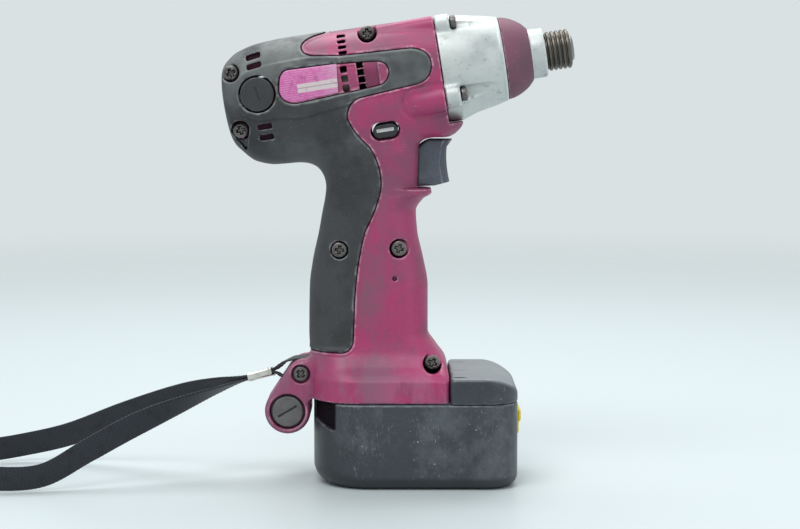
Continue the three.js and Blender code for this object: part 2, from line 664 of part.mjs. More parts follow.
const fanBody = (() => {
  let fan = union(solid(tube(-34.6, -33.4, 16.3, 2.8, 16)), solid(tube(-41.6, -33.4, 5, 2.8, 12)));
  for (let i = 0; i < 9; i++) {
    const blade = box(-41, -34, -0.6, 0.6, 4.5, 16);
    fan = fan.add(solid(blade.rotateX(2 * Math.PI * i / 9)));
  }
  return fan;
})();
add('fan', fanBody, M.blackPlastic, head);
add('motor_yoke', tube(-81, -43.4, 21.4, 18.8, 24), M.darkSteel, head);
for (const [name, middle] of [['magnet_top', 90], ['magnet_bottom', 270]]) {
  add(name, axialPrism(sector(15.9, 18.4, middle, 130), -79, -47, 8), M.magnet, head);
}
add('rear_bearing', tube(-103, -98.6, 7, 2.8, 16), M.steel, head);
const coverBody = union(
  solid(tube(-31.6, -29.6, 17.6, 2.8, 16)), solid(tube(-31.6, -26, 8.5, 2.8, 16)),
);
add('bearing_plate', coverBody, M.castAlloy, head);

for (const [name, side] of [['right', -1], ['left', 1]]) {
  const brush = side < 0 ? box(-92, -87, -21, -9.4, -1.5, 4) : box(-92, -87, 9.4, 21, -1.5, 4);
  add(`carbon_brush_${name}`, brush, M.carbon, head);
  const slotFrom = side < 0 ? -BRUSH_CAP.thickness / 2 - 1 : BRUSH_CAP.thickness / 2 - 1.2;
  const slot = box(-7, 7, slotFrom, slotFrom + 2.2, -0.7, 0.7);
  const cap = solid(new THREE.CylinderGeometry(BRUSH_CAP.radius, BRUSH_CAP.radius, BRUSH_CAP.thickness, 16))
    .subtract(solid(slot));
  const capMesh = add(`brush_cap_${name}`, cap, M.blackPlastic, head);
  capMesh.position.set(BRUSH_CAP.along, side * BRUSH_CAP.middle, BRUSH_CAP.height);
}

// ---------------------------------------------------------------- switch, trigger, reverse button
const triggerShape = new THREE.Shape();
triggerShape.moveTo(0, 147);
triggerShape.lineTo(9, 147.2);
triggerShape.lineTo(16.6, 149.2);
triggerShape.quadraticCurveTo(14.6, 158.5, 15.2, 166.5);
triggerShape.lineTo(18, 170.4);
triggerShape.lineTo(7, 170.5);
triggerShape.quadraticCurveTo(2.5, 169.5, 0, 165.5);
const triggerBody = solid(sidePrism(triggerShape, -TRIGGER_HALF_WIDTH, TRIGGER_HALF_WIDTH))
  .add(solid(rod(-12, 1, 2.5, 12).translate(0, 0, 158)));
add('trigger', triggerBody, M.blackPlastic);
const switchBody = solid(box(-38, -8.6, -10.5, 10.5, 123, 165))
  .subtract(solid(rod(-20, -8, 3, 12).translate(0, 0, 158)));
add('switch_body', switchBody, M.darkPlastic);
add('reverse_button', buttonPrism(0, BUTTON.halfSpan), M.darkPlastic, head);
const terminalBody = solid(box(-38, -10, -12, 12, 101, 111.4))
  .subtract(solid(box(-35, -13, -7.5, -4.5, 100, 108.6)))
  .subtract(solid(box(-35, -13, 4.5, 7.5, 100, 108.6)));
add('terminal_block', terminalBody, M.darkPlastic);

// ---------------------------------------------------------------- battery
const batteryRow = (z, inset) => [z, BATTERY.rear + inset, BATTERY.front - inset, BATTERY.halfWidth - inset,
  BATTERY.rearRadius - inset, BATTERY.frontRadius - inset];
const stemRow = (z, inset) => [z, STEM.rear + inset, STEM.front - inset, STEM.halfWidth - inset,
  STEM.radius - inset, STEM.radius - inset];
const BATTERY_WALL = 2.4;
const LID_INSET = BATTERY_WALL + GAP;

const lowerBody = solid(planLoft([
  batteryRow(0, 4), batteryRow(1.3, 1.3), batteryRow(4.6, 0), batteryRow(BATTERY_SEAM - GAP, 0),
])).subtract(solid(planLoft([batteryRow(2.6, BATTERY_WALL), batteryRow(50, BATTERY_WALL)])))
  .subtract(solid(box(44, 60, -9, 9, 22, 37)));
add('battery_lower', lowerBody, M.blackPlastic);

const blockFront = BATTERY.front;
const blockRow = (z, inset) => [z, BATTERY_BLOCK.rear + inset, blockFront - inset, BATTERY.halfWidth - inset,
  2.4, BATTERY.frontRadius - inset];
let upperBody = union(
  solid(planLoft([batteryRow(39.4, LID_INSET), batteryRow(BATTERY_SEAM + 0.2, LID_INSET)])),
  solid(planLoft([blockRow(BATTERY_SEAM, 0), blockRow(53.4, 0), blockRow(BATTERY_BLOCK.top, 1.2)])),
  solid(planLoft([stemRow(41, 0), stemRow(STEM.top - 1.5, 0), stemRow(STEM.top, 1.5)])),
);
upperBody = upperBody.subtract(solid(planLoft([stemRow(38, 2.2), stemRow(STEM.top - 2.2, 2.2)])))
  .subtract(solid(planLoft([blockRow(38, 2.4 + GAP), blockRow(52.2, 2.4 + GAP)])));
add('battery_upper', upperBody, M.blackPlastic);

const cellRows = [
  [-22, 20], [1, 20], [24, 20], [-34, 0], [-11, 0], [12, 0], [-22, -20], [1, -20], [24, -20],
];
let cells = solid(box(-34, 24, -20, 20, 36.5, 38));
for (const [x, y] of cellRows) {
  const cell = new THREE.CylinderGeometry(CELL.radius, CELL.radius, CELL.height, 10);
  cells = cells.add(solid(cell.rotateX(Math.PI / 2).translate(x, y, 3.2 + CELL.height / 2)));
}
const stemCell = new THREE.CylinderGeometry(CELL.radius, CELL.radius, 54, 10).rotateX(Math.PI / 2);
cells = cells.add(solid(stemCell.translate((STEM.rear + STEM.front) / 2, 0, 37 + 27)));
add('cell_pack', cells, M.sleeveWrap);
for (const [name, y] of [['plus', -6], ['minus', 6]]) {
  add(`battery_contact_${name}`, box(-33, -15, y - 0.5, y + 0.5, STEM.top + GAP, 107), M.brass);
}
const latchBody = solid(box(44.8, 50.2, -8.6, 8.6, 22.4, 36.6))
  .add(solid(box(49.8, 52.5, -7.5, 7.5, 29, 35.8)))
  .add(solid(box(49.8, 51.4, -7.5, 7.5, 23.4, 29)));
add('battery_latch', latchBody, M.yellow);

// ---------------------------------------------------------------- lug screw and strap
const coinScrew = solid(crossRod(LUG_RING.x, LUG_RING.z, -13.4, -9.3, 7.6, 20))
  .add(solid(crossRod(LUG_RING.x, LUG_RING.z, -10, 6.5, 4, 12)))
  .subtract(solid(box(-5.6, 5.6, -1, 1, -0.6, 0.6)
    .rotateY(-rad(31))
    .translate(LUG_RING.x, -13.4, LUG_RING.z)));
add('hook_screw', coinScrew, M.darkPlastic);

function strapGeometry() {
  const route = STRAP_ROUTE.map(([x, y, z]) => new THREE.Vector3(x, y, z));
  const path = new THREE.CatmullRomCurve3(route, false, 'centripetal');
  const stations = (STRAP_ROUTE.length - 1) * STRAP_STEPS;
  const rings = [];
  for (let i = 0; i <= stations; i++) {
    const at = path.getPoint(i / stations);
    const ahead = path.getTangent(i / stations);
    const span = i / STRAP_STEPS;
    const low = Math.min(Math.floor(span), STRAP_ROUTE.length - 2);
    const roll = rad(THREE.MathUtils.lerp(STRAP_ROUTE[low][3], STRAP_ROUTE[low + 1][3], span - low));
    const level = new THREE.Vector3(0, 0, 1).cross(ahead).normalize();
    const upright = new THREE.Vector3().crossVectors(ahead, level);
    if (i * 2 > stations) level.negate();
    const across = level.clone().multiplyScalar(Math.cos(roll)).addScaledVector(upright, Math.sin(roll));
    const face = new THREE.Vector3().crossVectors(ahead, across);
    rings.push([[1, 1], [-1, 1], [-1, -1], [1, -1]].map(([u, v]) => at.clone()
      .addScaledVector(across, u * STRAP_WIDTH / 2)
      .addScaledVector(face, v * STRAP_THICKNESS / 2)));
  }
  return loft(rings);
}
add('wrist_strap', strapGeometry(), M.webbing);

/** Metal band pressed round both runs of the strap. */
function crimpGeometry() {
  const from = new THREE.Vector3(...CRIMP.from);
  const to = new THREE.Vector3(...CRIMP.to);
  const ahead = to.clone().sub(from).normalize();
  const level = new THREE.Vector3(0, 0, 1).cross(ahead).normalize();
  const upright = new THREE.Vector3().crossVectors(ahead, level);
  const roll = rad(CRIMP.roll);
  const across = level.clone().multiplyScalar(Math.cos(roll)).addScaledVector(upright, Math.sin(roll));
  const face = new THREE.Vector3().crossVectors(ahead, across);
  const band = (width, thickness, length) => {
    const matrix = new THREE.Matrix4().makeBasis(ahead, across, face)
      .setPosition(from.clone().add(to).multiplyScalar(0.5));
    return solid(new THREE.BoxGeometry(length, width, thickness), matrix);
  };
  const length = from.distanceTo(to);
  const bore = band(CRIMP.width - 2 * CRIMP.wall, CRIMP.thickness - 2 * CRIMP.wall, 2 * length);
  return band(CRIMP.width, CRIMP.thickness, length).subtract(bore);
}
add('strap_crimp', crimpGeometry(), M.castAlloy);

export default group;
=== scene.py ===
"""Looks for the cordless impact driver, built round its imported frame.

Lengths are millimetres until a mesh is made.
"""
import math
import bpy
import numpy as np
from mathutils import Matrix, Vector


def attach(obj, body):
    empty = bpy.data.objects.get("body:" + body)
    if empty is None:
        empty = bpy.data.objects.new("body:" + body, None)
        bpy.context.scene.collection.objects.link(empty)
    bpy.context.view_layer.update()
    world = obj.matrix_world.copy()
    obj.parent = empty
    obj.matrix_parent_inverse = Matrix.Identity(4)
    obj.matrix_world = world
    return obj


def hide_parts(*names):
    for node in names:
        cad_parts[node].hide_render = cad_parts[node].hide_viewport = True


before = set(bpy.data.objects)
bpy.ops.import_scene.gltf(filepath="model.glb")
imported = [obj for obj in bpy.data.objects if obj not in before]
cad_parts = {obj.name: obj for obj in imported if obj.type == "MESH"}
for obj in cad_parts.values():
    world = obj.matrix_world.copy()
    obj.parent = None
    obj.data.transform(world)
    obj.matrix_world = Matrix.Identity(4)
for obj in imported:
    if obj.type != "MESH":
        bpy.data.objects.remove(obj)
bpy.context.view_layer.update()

MM = 0.001
F4 = np.float32

# ------------------------------------------------------------------ driving dimensions, as in the CAD
GAP = 0.3
WALL = 2.6
SPLIT = 0.15
HEAD_X, HEAD_Z = 11.8, 205.0
TILT = math.radians(8.9)
COS, SIN = math.cos(TILT), math.sin(TILT)
# barrel: along, up, down, half width
BARREL = np.array([
    (-109.4, 1, 4, 5), (-107.6, 9.5, 14.5, 17.5), (-106.4, 15, 19.5, 21.5), (-103, 19.6, 24.5, 24.5),
    (-96.5, 23.6, 31, 26.8), (-87, 25.8, 34, 28), (-72, 26.7, 34.8, 28.6), (-50, 26.3, 33.5, 28.6),
    (-25, 26, 29, 28), (0, 25.4, 26, 26.4)])
SQUARENESS = 2.35
# handle and skirt: height, rear x, front x, half width, rear radius, front radius
HANDLE = np.array([
    (42.6, -52.2, 16.1, 33.6, 24, 3), (52.6, -52.2, 16.1, 33.2, 24, 3.4), (55, -52.1, 15.9, 31.4, 23, 4),
    (60, -52.3, 14.6, 26, 19, 8), (67, -52.7, 10.2, 22, 17, 12), (75, -53.1, 5.8, 20.8, 17, 14),
    (98, -52.7, 5.8, 20.2, 16, 15), (110, -51.2, 3.8, 19.8, 16, 15), (125, -48, 0.6, 19.6, 16, 15),
    (135, -46.2, -0.1, 19.8, 16, 15), (141, -45, 3.4, 20, 16, 14), (144, -44.6, 7.6, 20, 16, 13),
    (145.8, -44.4, 7.4, 20.2, 16, 13), (146.6, -44.4, 1, 20.2, 16, 14), (156, -46.5, 1, 22, 16, 14),
    (166, -52, 1, 24, 16, 14), (182, -60, 4, 24, 16, 14)])
CHIN = np.array([
    (171.3, -22, 16.8, 13.5, 6, 8), (173.5, -22, 19.6, 15.8, 6, 9), (177.5, -22, 22.8, 17.6, 6, 9),
    (183, -22, 24, 18, 6, 9)])
CASE_CLEAR = 26.2
LUG_HALF = 14.0
RING_X, RING_Z, RING_R = -63.9, 35.4, 11.4
SCREWS = {
    "rear_top": (-90.0, 202.6, 17.5), "rear_bottom": (-85.4, 175.0, 17.5), "top": (-24.0, 222.0, 13),
    "grip_rear": (-37.7, 116.4, 16), "grip_front": (-8.5, 117.1, 16), "base_front": (7.9, 61.2, 20.5),
    "lug": (-57.2, 54.2, 10.5)}
SCREW_HEAD_R, SCREW_HEAD_H, SCREW_RECESS = 3.7, 2.6, 4.7
SCREW_SHANK_R, SCREW_BITE = 1.55, 6
CASE_SCREWS = ((-15, 21.2), (15, 21.2), (-21.5, -14), (21.5, -14))
CASE_SCREW_HEAD_R, CASE_SCREW_HEAD_H, CASE_SCREW_SHANK_R, CASE_SCREW_LENGTH = 3.4, 3.3, 1.65, 21.5
CASE_SCREW_FACE = 11.1
CASE_BOSS, CASE_TOP_BOSS = 5.6, 4.5
# swellings of the housing over the case screws: from, to, radius
SWELLINGS = (((-33, -13, 20.6), (4, -15, 21.2), 4.6), ((-13.6, -21.2, -15), (4, -21.5, -14.4), 6.2))
CAP_S, CAP_H, CAP_R, CAP_BORE = -89.5, 1.3, 8.4, 8.9
CAP_FACE_Y, CAP_BACK_Y, CAP_RING_R = -28.15, -21.65, 7.2
COIN_HEAD_R, COIN_SHANK_R = 7.6, 4
COIN_SEAT_R, COIN_SEAT_Y, COIN_HOLE_R, COIN_HOLE_END = 8.9, -9.0, 4.6, -7.0
BUTTON_S, BUTTON_H, BUTTON_LENGTH, BUTTON_WIDTH, BUTTON_SPAN = -31.2, -25.6, 12.2, 6.8, 25.4
GRIP_DEPTH = 1.6
STRAP_WIDTH, STRAP_THICKNESS = 12.5, 1.2
STRAP_ROUTE = np.array([
    (-63.5, 0.3, 50.6, 4), (-67.2, 0.4, 51.4, 6), (-71, 0.7, 53.1, 9), (-84.6, 1, 49.5, 9),
    (-97, -1.5, 45.3, 24), (-118, -9, 37.8, 55), (-140, -19, 29.2, 84), (-161, -28, 18.6, 84),
    (-182, -36, 8.0, 78), (-204, -39, 6.9, 84), (-226, -30, 6.9, 88), (-238, -4, 6.9, 90),
    (-230, 24, 7.0, 88), (-208, 36, 8.8, 84), (-182, 36, 14.6, 80), (-150, 28, 27.6, 76),
    (-122, 17, 38.4, 66), (-98, 5.5, 47.2, 30), (-84.6, 1, 51.0, 9), (-71, 0.8, 54.7, 9),
    (-65.6, 0.3, 58.6, 4), (-61.4, 0, 60.3, 0), (-57.6, 0, 60.7, 0), (-53.6, 0, 60.8, 0)])
CRIMP_FROM, CRIMP_TO, CRIMP_ROLL = np.array((-71.8, 0.8, 53.7)), np.array((-83.8, 1, 50.45)), 9
CRIMP_WIDTH, CRIMP_THICKNESS, CRIMP_WALL = 14.8, 4.4, 0.6
STRAP_SEAT = [
    (-75, 72), (-52.9, 72), (-52.9, 59.9), (-57.2, 59.8), (-61.2, 59.2), (-64.4, 57.2), (-67.4, 53.4),
    (-75, 53.4)]
STRAP_SEAT_HALF = 6.9
# pale block on the plate: from, to along the barrel, lower and upper edge
BLOCK_FROM, BLOCK_TO, BLOCK_LOW, BLOCK_HIGH = -69.6, -50.5, -1.1, 2.9
# battery: rear, front, half width, rear radius, front radius
BATTERY = (-50.8, 50.0, 35.0, 25.0, 16.0)
SEAM = 42.3
STEM = (-46.5, -1.5, 16.5, 14.0, 14.0)
BLOCK_REAR, BLOCK_TOP, STEM_TOP = 16.5, 55.0, 99.0

# ------------------------------------------------------------------ camera
camera = bpy.data.objects.new("camera", bpy.data.cameras.new("camera"))
camera.data.lens = 85.9
camera.data.clip_start = 0.01
camera.location = (-0.008, -0.950, 0.199)
camera.rotation_euler = (math.radians(84.5), 0, 0)
bpy.context.collection.objects.link(camera)
bpy.context.scene.camera = camera
bpy.context.scene.view_settings.view_transform = "Standard"


# ------------------------------------------------------------------ materials
def tone(r, g, b):
    """Linear colour of an sRGB one given as 0 to 255."""
    linear = [c / 255 / 12.92 if c <= 10 else ((c / 255 + 0.055) / 1.055) ** 2.4 for c in (r, g, b)]
    return (*linear, 1.0)


class Look:
    """A node material that starts from one base colour and takes layers of colour, roughness and bump."""

    def __init__(self, name, colour, roughness=0.5, metal=0.0, specular=0.5, coat=0.0, sheen=0.0):
        self.material = bpy.data.materials.new(name)
        self.material.use_nodes = True
        self.tree = self.material.node_tree
        self.shader = self.tree.nodes["Principled BSDF"]
        self.colour = tone(*colour)
        self.normal = None
        self.feed(self.shader, {"Base Color": self.colour, "Roughness": roughness, "Metallic": metal,
                                "Specular IOR Level": specular, "Coat Weight": coat, "Sheen Weight": sheen})
        self.coord = self.node("ShaderNodeTexCoord").outputs["Object"]

    def feed(self, node, sockets):
        """Links or sets a node's inputs, named by key."""
        for key, value in sockets.items():
            if isinstance(value, bpy.types.NodeSocket):
                self.tree.links.new(value, node.inputs[key])
            else:
                node.inputs[key].default_value = value

    def node(self, kind, sockets=None, **settings):
        made = self.tree.nodes.new(kind)
        for key, value in settings.items():
            setattr(made, key, value)
        self.feed(made, sockets or {})
        return made

    def stretched(self, scale, turn=0.0):
        sockets = {"Vector": self.coord, "Scale": scale, "Rotation": (0, turn, 0)}
        return self.node("ShaderNodeMapping", sockets).outputs["Vector"]

    def noise(self, scale, detail=4.0, rough=0.55, vector=None, distortion=0.0):
        return self.node("ShaderNodeTexNoise", {
            "Vector": vector or self.coord, "Scale": scale, "Detail": detail, "Roughness": rough,
            "Distortion": distortion}).outputs["Fac"]

    def cells(self, scale):
        return self.node("ShaderNodeTexVoronoi", {"Vector": self.coord, "Scale": scale}).outputs["Distance"]

    def attribute(self, name):
        return self.node("ShaderNodeAttribute", attribute_name=name).outputs["Fac"]

    def axis(self, which, vector=None):
        return self.node("ShaderNodeSeparateXYZ", {0: vector or self.coord}).outputs[which]

    def up(self):
        """How far the surface faces upwards, -1 to 1."""
        return self.axis("Z", self.node("ShaderNodeNewGeometry").outputs["Normal"])

    def span(self, value, low, high, to_low=0.0, to_high=1.0):
        """Smooth step from to_low, where value is low, to to_high."""
        sockets = {"Value": value, "From Min": low, "From Max": high, "To Min": to_low, "To Max": to_high}
        return self.node("ShaderNodeMapRange", sockets, interpolation_type="SMOOTHSTEP").outputs["Result"]

    def times(self, a, b):
        return self.node("ShaderNodeMath", {0: a, 1: b}, operation="MULTIPLY").outputs[0]

    def between(self, value, low, high, soft):
        """One between low and high, fading to nothing within soft."""
        return self.times(self.span(value, low - soft, low), self.span(value, high + soft, high))

    def layer(self, mask, colour, amount=1.0):
        """Paints colour where mask is high."""
        sockets = {"Factor": self.times(mask, amount), "A": self.colour, "B": tone(*colour)}
        self.colour = self.node("ShaderNodeMix", sockets, data_type="RGBA").outputs["Result"]
        self.feed(self.shader, {"Base Color": self.colour})

    def rough(self, mask, low, high):
        self.feed(self.shader, {"Roughness": self.span(mask, 0, 1, low, high)})

    def bump(self, height, depth, strength=0.5):
        """Adds a bump of the given depth in millimetres on top of those before."""
        made = self.node("ShaderNodeBump", {"Strength": strength, "Distance": depth * MM, "Height": height})
        if self.normal:
            self.feed(made, {"Normal": self.normal})
        self.normal = made.outputs["Normal"]
        self.feed(self.shader, {"Normal": self.normal})


def worn_plastic(name, colour, grime_and_shade, scuff, roughness, grain=0.05, specular=0.5, scored=0.12):
    """Moulded plastic from a workshop: fine spark grain, greasy patches, pale rubbed edges, scratches, and
    painted shade in its hollows.
    """
    look = Look(name, colour, roughness, specular=specular)
    broad = look.noise(32, 6, 0.62)
    fine = look.noise(260, 5, 0.6)
    edge = look.attribute("edge")
    look.layer(look.span(broad, 0.42, 0.66), grime_and_shade, 0.8)
    look.layer(look.span(fine, 0.54, 0.72), grime_and_shade, 0.4)
    look.layer(look.span(look.noise(900, 3, 0.6), 0.6, 0.75), scuff, 0.16)
    # hollows and creases, found by curvature, painted darker: painted shade
    look.layer(look.span(edge, -0.12, -0.55), [0.4 * c for c in grime_and_shade], 0.8)
    scratches = look.noise(150, 4, 0.6, look.stretched((1, 1, 6), 0.6), 0.4)
    look.layer(look.span(scratches, 0.64, 0.74), scuff, scored)
    look.layer(look.times(look.span(edge, 0.12, 0.45), look.span(fine, 0.38, 0.6)), scuff, 0.7)
    look.rough(broad, roughness - 0.08, roughness + 0.14)
    look.bump(look.noise(1500, 2, 0.5), grain, 0.6)
    look.bump(look.noise(420, 4, 0.6), 0.05, 0.5)
    return look


def rubbed_metal(name, colour, dark, roughness, scale=1.0):
    look = Look(name, colour, roughness, metal=1.0)
    look.layer(look.span(look.noise(60 * scale, 6, 0.65), 0.45, 0.75), dark, 0.5)
    look.layer(look.span(look.noise(600 * scale, 3, 0.6), 0.6, 0.75), dark, 0.4)
    look.rough(look.noise(150 * scale, 4, 0.6), roughness - 0.12, roughness + 0.16)
    look.bump(look.noise(700 * scale, 3, 0.6), 0.03, 0.4)
    return look


def housing_plastic():
    """Raspberry plastic with grease low on the skirt and towards the grip, and painted shade in its cavities.
    """
    look = worn_plastic("housing_plastic", (158, 42, 94), (116, 62, 88), (205, 150, 172), 0.42, 0.04)
    greasy = look.span(look.noise(55, 6, 0.65, look.stretched((1.6, 1, 0.5))), 0.4, 0.62)
    look.layer(look.times(greasy, look.span(look.axis("Z"), 0.075, 0.045)), (176, 104, 138), 0.4)
    look.layer(look.times(greasy, look.span(look.axis("X"), 0.0, -0.028)), (104, 78, 92), 0.55)
    # cavities painted darker the deeper they lie: painted shade
    look.layer(look.attribute("cavity_shade"), (88, 18, 54), 0.75)
    return look


def soft_grip_rubber():
    """Dark rubber with dust and painted top light on what faces up, a haze on the barrel, and painted shade
    in its cavities.
    """
    look = worn_plastic("soft_grip_rubber", (46, 46, 48), (62, 63, 66), (134, 137, 138), 0.58,
                        grain=0.1, specular=0.35, scored=0.06)
    # faces that point up painted pale: dust together with painted top light
    dust_and_top_light = look.times(look.span(look.up(), 0.1, 0.9), look.span(look.noise(80, 5, 0.6), 0.3, 0.7))
    look.layer(dust_and_top_light, (150, 155, 153), 0.7)
    haze = look.span(look.noise(26, 5, 0.6), 0.44, 0.66)
    look.layer(look.times(haze, look.span(look.axis("Z"), 0.14, 0.18)), (106, 110, 110), 0.5)
    # cavities painted darker the deeper they lie: painted shade
    look.layer(look.attribute("cavity_shade"), (24, 24, 26), 0.7)
    return look


def tumbled_alloy():
    """Cast and tumbled aluminium with dull patches, pits, bright worn edges and painted shade in its hollows.
    """
    look = Look("tumbled_alloy", (192, 196, 194), 0.5, metal=0.62)
    look.layer(look.span(look.noise(45, 6, 0.6), 0.45, 0.72), (150, 157, 161), 0.7)
    look.layer(look.span(look.noise(240, 5, 0.7), 0.56, 0.7), (112, 116, 118), 0.55)
    pits = look.span(look.cells(420), 0.16, 0.05)
    look.layer(look.times(pits, look.span(look.noise(90, 3, 0.5), 0.45, 0.6)), (60, 62, 63), 0.85)
    edge = look.attribute("edge")
    look.layer(look.span(edge, 0.12, 0.5), (238, 240, 240), 0.7)
    # hollows, found by curvature, painted dark: painted shade
    look.layer(look.span(edge, -0.1, -0.5), (62, 60, 60), 0.75)
    look.rough(look.noise(170, 4, 0.6), 0.4, 0.64)
    look.bump(look.noise(520, 4, 0.62), 0.09, 0.55)
    look.bump(pits, -0.05, 0.4)
    return look


def battery_plastic():
    """Dark plastic with pale smears, fine rub marks, nicks and chips; painted shade along the bottom, at the
    rear and in the hand recesses, and a painted reflection on the block's top.
    """
    look = worn_plastic("battery_plastic", (44, 49, 57), (34, 37, 43), (120, 126, 132), 0.36, 0.04)
    smears = look.span(look.noise(34, 7, 0.7, look.stretched((1, 1, 0.8))), 0.48, 0.66)
    look.layer(smears, (92, 98, 106), 0.5)
    rubs = look.span(look.noise(420, 5, 0.7, look.stretched((2.4, 1, 1), 0.2)), 0.56, 0.7)
    look.layer(look.times(rubs, look.span(look.noise(50, 4, 0.6), 0.42, 0.6)), (142, 148, 154), 0.42)
    nicks = look.noise(230, 3, 0.6, look.stretched((4, 1, 1), 0.25), 0.6)
    look.layer(look.span(nicks, 0.71, 0.75), (186, 190, 193), 0.6)
    chips = look.times(look.span(look.cells(230), 0.12, 0.06), look.span(look.noise(60, 3, 0.6), 0.52, 0.6))
    look.layer(chips, (176, 180, 182), 0.6)
    # darker towards the bottom: painted shade on the lower edge
    look.layer(look.span(look.axis("Z"), 0.0075, 0.0045), (26, 28, 33), 0.75)
    # darker towards the rear: painted shade on the rear corner
    look.layer(look.span(look.axis("X"), -0.026, -0.044), (30, 29, 33), 0.6)
    upper = look.span(look.axis("Z"), 0.0405, 0.0435)
    look.layer(look.times(upper, 0.6), (30, 35, 42), 0.8)
    # upward faces of the block painted pale: a painted reflection
    look.layer(look.times(upper, look.span(look.up(), 0.3, 0.95)), (150, 156, 160), 0.5)
    shade = look.attribute("shade")
    look.layer(shade, (18, 10, 16), 0.96)
    look.feed(look.shader, {"Specular IOR Level": look.span(shade, 0, 1, 0.6, 0.04)})
    return look


def copper_windings():
    look = rubbed_metal("copper_windings", (176, 106, 62), (104, 52, 30), 0.4)
    look.bump(look.noise(900, 2, 0.4, look.stretched((0.2, 1, 1))), 0.15, 0.8)
    return look


def screw_steel():
    look = rubbed_metal("dark_screw_steel", (108, 105, 103), (40, 38, 37), 0.38, 2)
    look.layer(look.span(look.attribute("edge"), 0.15, 0.5), (150, 148, 144), 0.7)
    return look


def trigger_plastic():
    look = worn_plastic("trigger_plastic", (74, 79, 90), (56, 60, 68), (150, 156, 164), 0.36, 0.02)
    look.layer(look.span(look.noise(60, 6, 0.7), 0.46, 0.66), (116, 122, 132), 0.6)
    return look


def woven_webbing():
    look = Look("woven_webbing", (40, 43, 49), 0.85, specular=0.25, sheen=0.25)
    look.layer(look.span(look.attribute("yarn"), 0.35, 1.0), (66, 70, 78), 0.7)
    look.layer(look.span(look.noise(180, 5, 0.6), 0.5, 0.75), (24, 26, 30), 0.6)
    look.bump(look.noise(2600, 2, 0.5), 0.06, 0.7)
    return look


def pressed_band():
    look = rubbed_metal("pressed_band", (214, 212, 204), (150, 148, 140), 0.34, 1.5)
    # hollows, found by curvature, painted dark: painted shade
    look.layer(look.span(look.attribute("edge"), -0.05, -0.35), (70, 68, 66), 0.8)
    return look


def rating_plate():
    """Plain foil: faint broken rules, a paler front end, and one blank block with a line through it."""
    look = Look("rating_plate", (186, 92, 150), 0.34, coat=0.2)
    along, high = look.attribute("along"), look.attribute("high")
    high_first = look.node("ShaderNodeCombineXYZ", {0: high, 1: along}).outputs[0]
    waves = look.node("ShaderNodeTexWave", {"Vector": high_first, "Scale": 0.3, "Distortion": 0.0},
                      wave_type="BANDS", bands_direction="X")
    rules = look.span(waves.outputs["Fac"], 0.62, 0.85)
    look.layer(look.span(along, -62, -48), (190, 140, 166), 0.75)
    look.layer(look.times(rules, look.span(look.noise(420, 2, 0.5), 0.42, 0.5)), (216, 160, 198), 0.42)
    block = look.times(look.between(along, BLOCK_FROM, BLOCK_TO, 0.3),
                       look.between(high, BLOCK_LOW, BLOCK_HIGH, 0.2))
    look.layer(block, (196, 186, 186), 0.9)
    middle = (BLOCK_LOW + BLOCK_HIGH) / 2
    look.layer(look.times(block, look.between(high, middle - 0.2, middle + 0.2, 0.15)), (120, 100, 116), 0.55)
    look.layer(look.span(look.noise(300, 5, 0.65), 0.56, 0.7), (120, 60, 100), 0.5)
    look.bump(look.noise(600, 3, 0.6), 0.03, 0.4)
    return look


def button_plastic():
    look = worn_plastic("button_plastic", (34, 34, 38), (28, 28, 32), (52, 52, 56), 0.5)
    look.layer(look.span(look.attribute("mark"), 0.3, 0.8), (196, 198, 196), 0.85)
    return look


LOOKS = {
    "housing": housing_plastic(), "soft_grip": soft_grip_rubber(), "cast_alloy": tumbled_alloy(),
    "battery_case": battery_plastic(), "copper_windings": copper_windings(), "dark_screws": screw_steel(),
    "trigger": trigger_plastic(), "webbing": woven_webbing(), "crimp": pressed_band(),
    "plate": rating_plate(), "button": button_plastic(),
    "bumper": worn_plastic("bumper_rubber", (114, 70, 88), (94, 72, 82), (182, 150, 160), 0.6,
                           grain=0.08, specular=0.35, scored=0.4),
    "magnets": worn_plastic("ferrite", (58, 58, 60), (40, 40, 42), (110, 110, 112), 0.6),
    "dark_plastic": worn_plastic("dark_plastic", (62, 63, 67), (44, 45, 49), (118, 119, 122), 0.5),
    "carbon": worn_plastic("carbon", (34, 34, 35), (24, 24, 25), (84, 84, 86), 0.7),
    "cell_wrap": worn_plastic("cell_wrap", (44, 104, 134), (36, 84, 110), (120, 160, 180), 0.4),
    "latch": worn_plastic("latch_plastic", (226, 204, 42), (190, 166, 40), (240, 230, 150), 0.42),
    "cap": worn_plastic("cap_plastic", (46, 47, 51), (36, 37, 41), (104, 105, 108), 0.5, 0.1),
    "coin": worn_plastic("coin_screw_plastic", (74, 72, 74), (104, 102, 102), (150, 148, 146), 0.55, 0.15),
    "dark_steel": rubbed_metal("sleeve_steel", (104, 99, 93), (50, 46, 43), 0.36, 1.6),
    "steel": rubbed_metal("bright_steel", (150, 150, 152), (96, 95, 95), 0.32),
    "bronze": rubbed_metal("sintered_bronze", (176, 146, 84), (120, 92, 50), 0.42)}


# ------------------------------------------------------------------ curves and outlines
def smooth(rows, at):
    """Monotone cubic through rows of (station, values...). It gives one array for each value."""
    rows = np.asarray(rows, float)
    x = rows[:, 0]
    gaps = np.diff(x)
    place = np.clip(np.searchsorted(x, at) - 1, 0, len(x) - 2)
    t = np.clip((at - x[place]) / gaps[place], 0, 1)
    out = []
    for column in rows[:, 1:].T:
        slope = np.diff(column) / gaps
        tangent = np.zeros(len(x))
        same = slope[1:] * slope[:-1] > 0
        mean = np.where(same, 2 * slope[1:] * slope[:-1] / np.where(same, slope[1:] + slope[:-1], 1), 0)
        tangent[1:-1] = mean
        tangent[0], tangent[-1] = slope[0], slope[-1]
        a, b, width = column[place], column[place + 1], gaps[place]
        ta, tb = tangent[place] * width, tangent[place + 1] * width
        out.append((a + t * (ta + t * (3 * (b - a) - 2 * ta - tb + t * (2 * (a - b) + ta + tb)))).astype(F4))
    return out


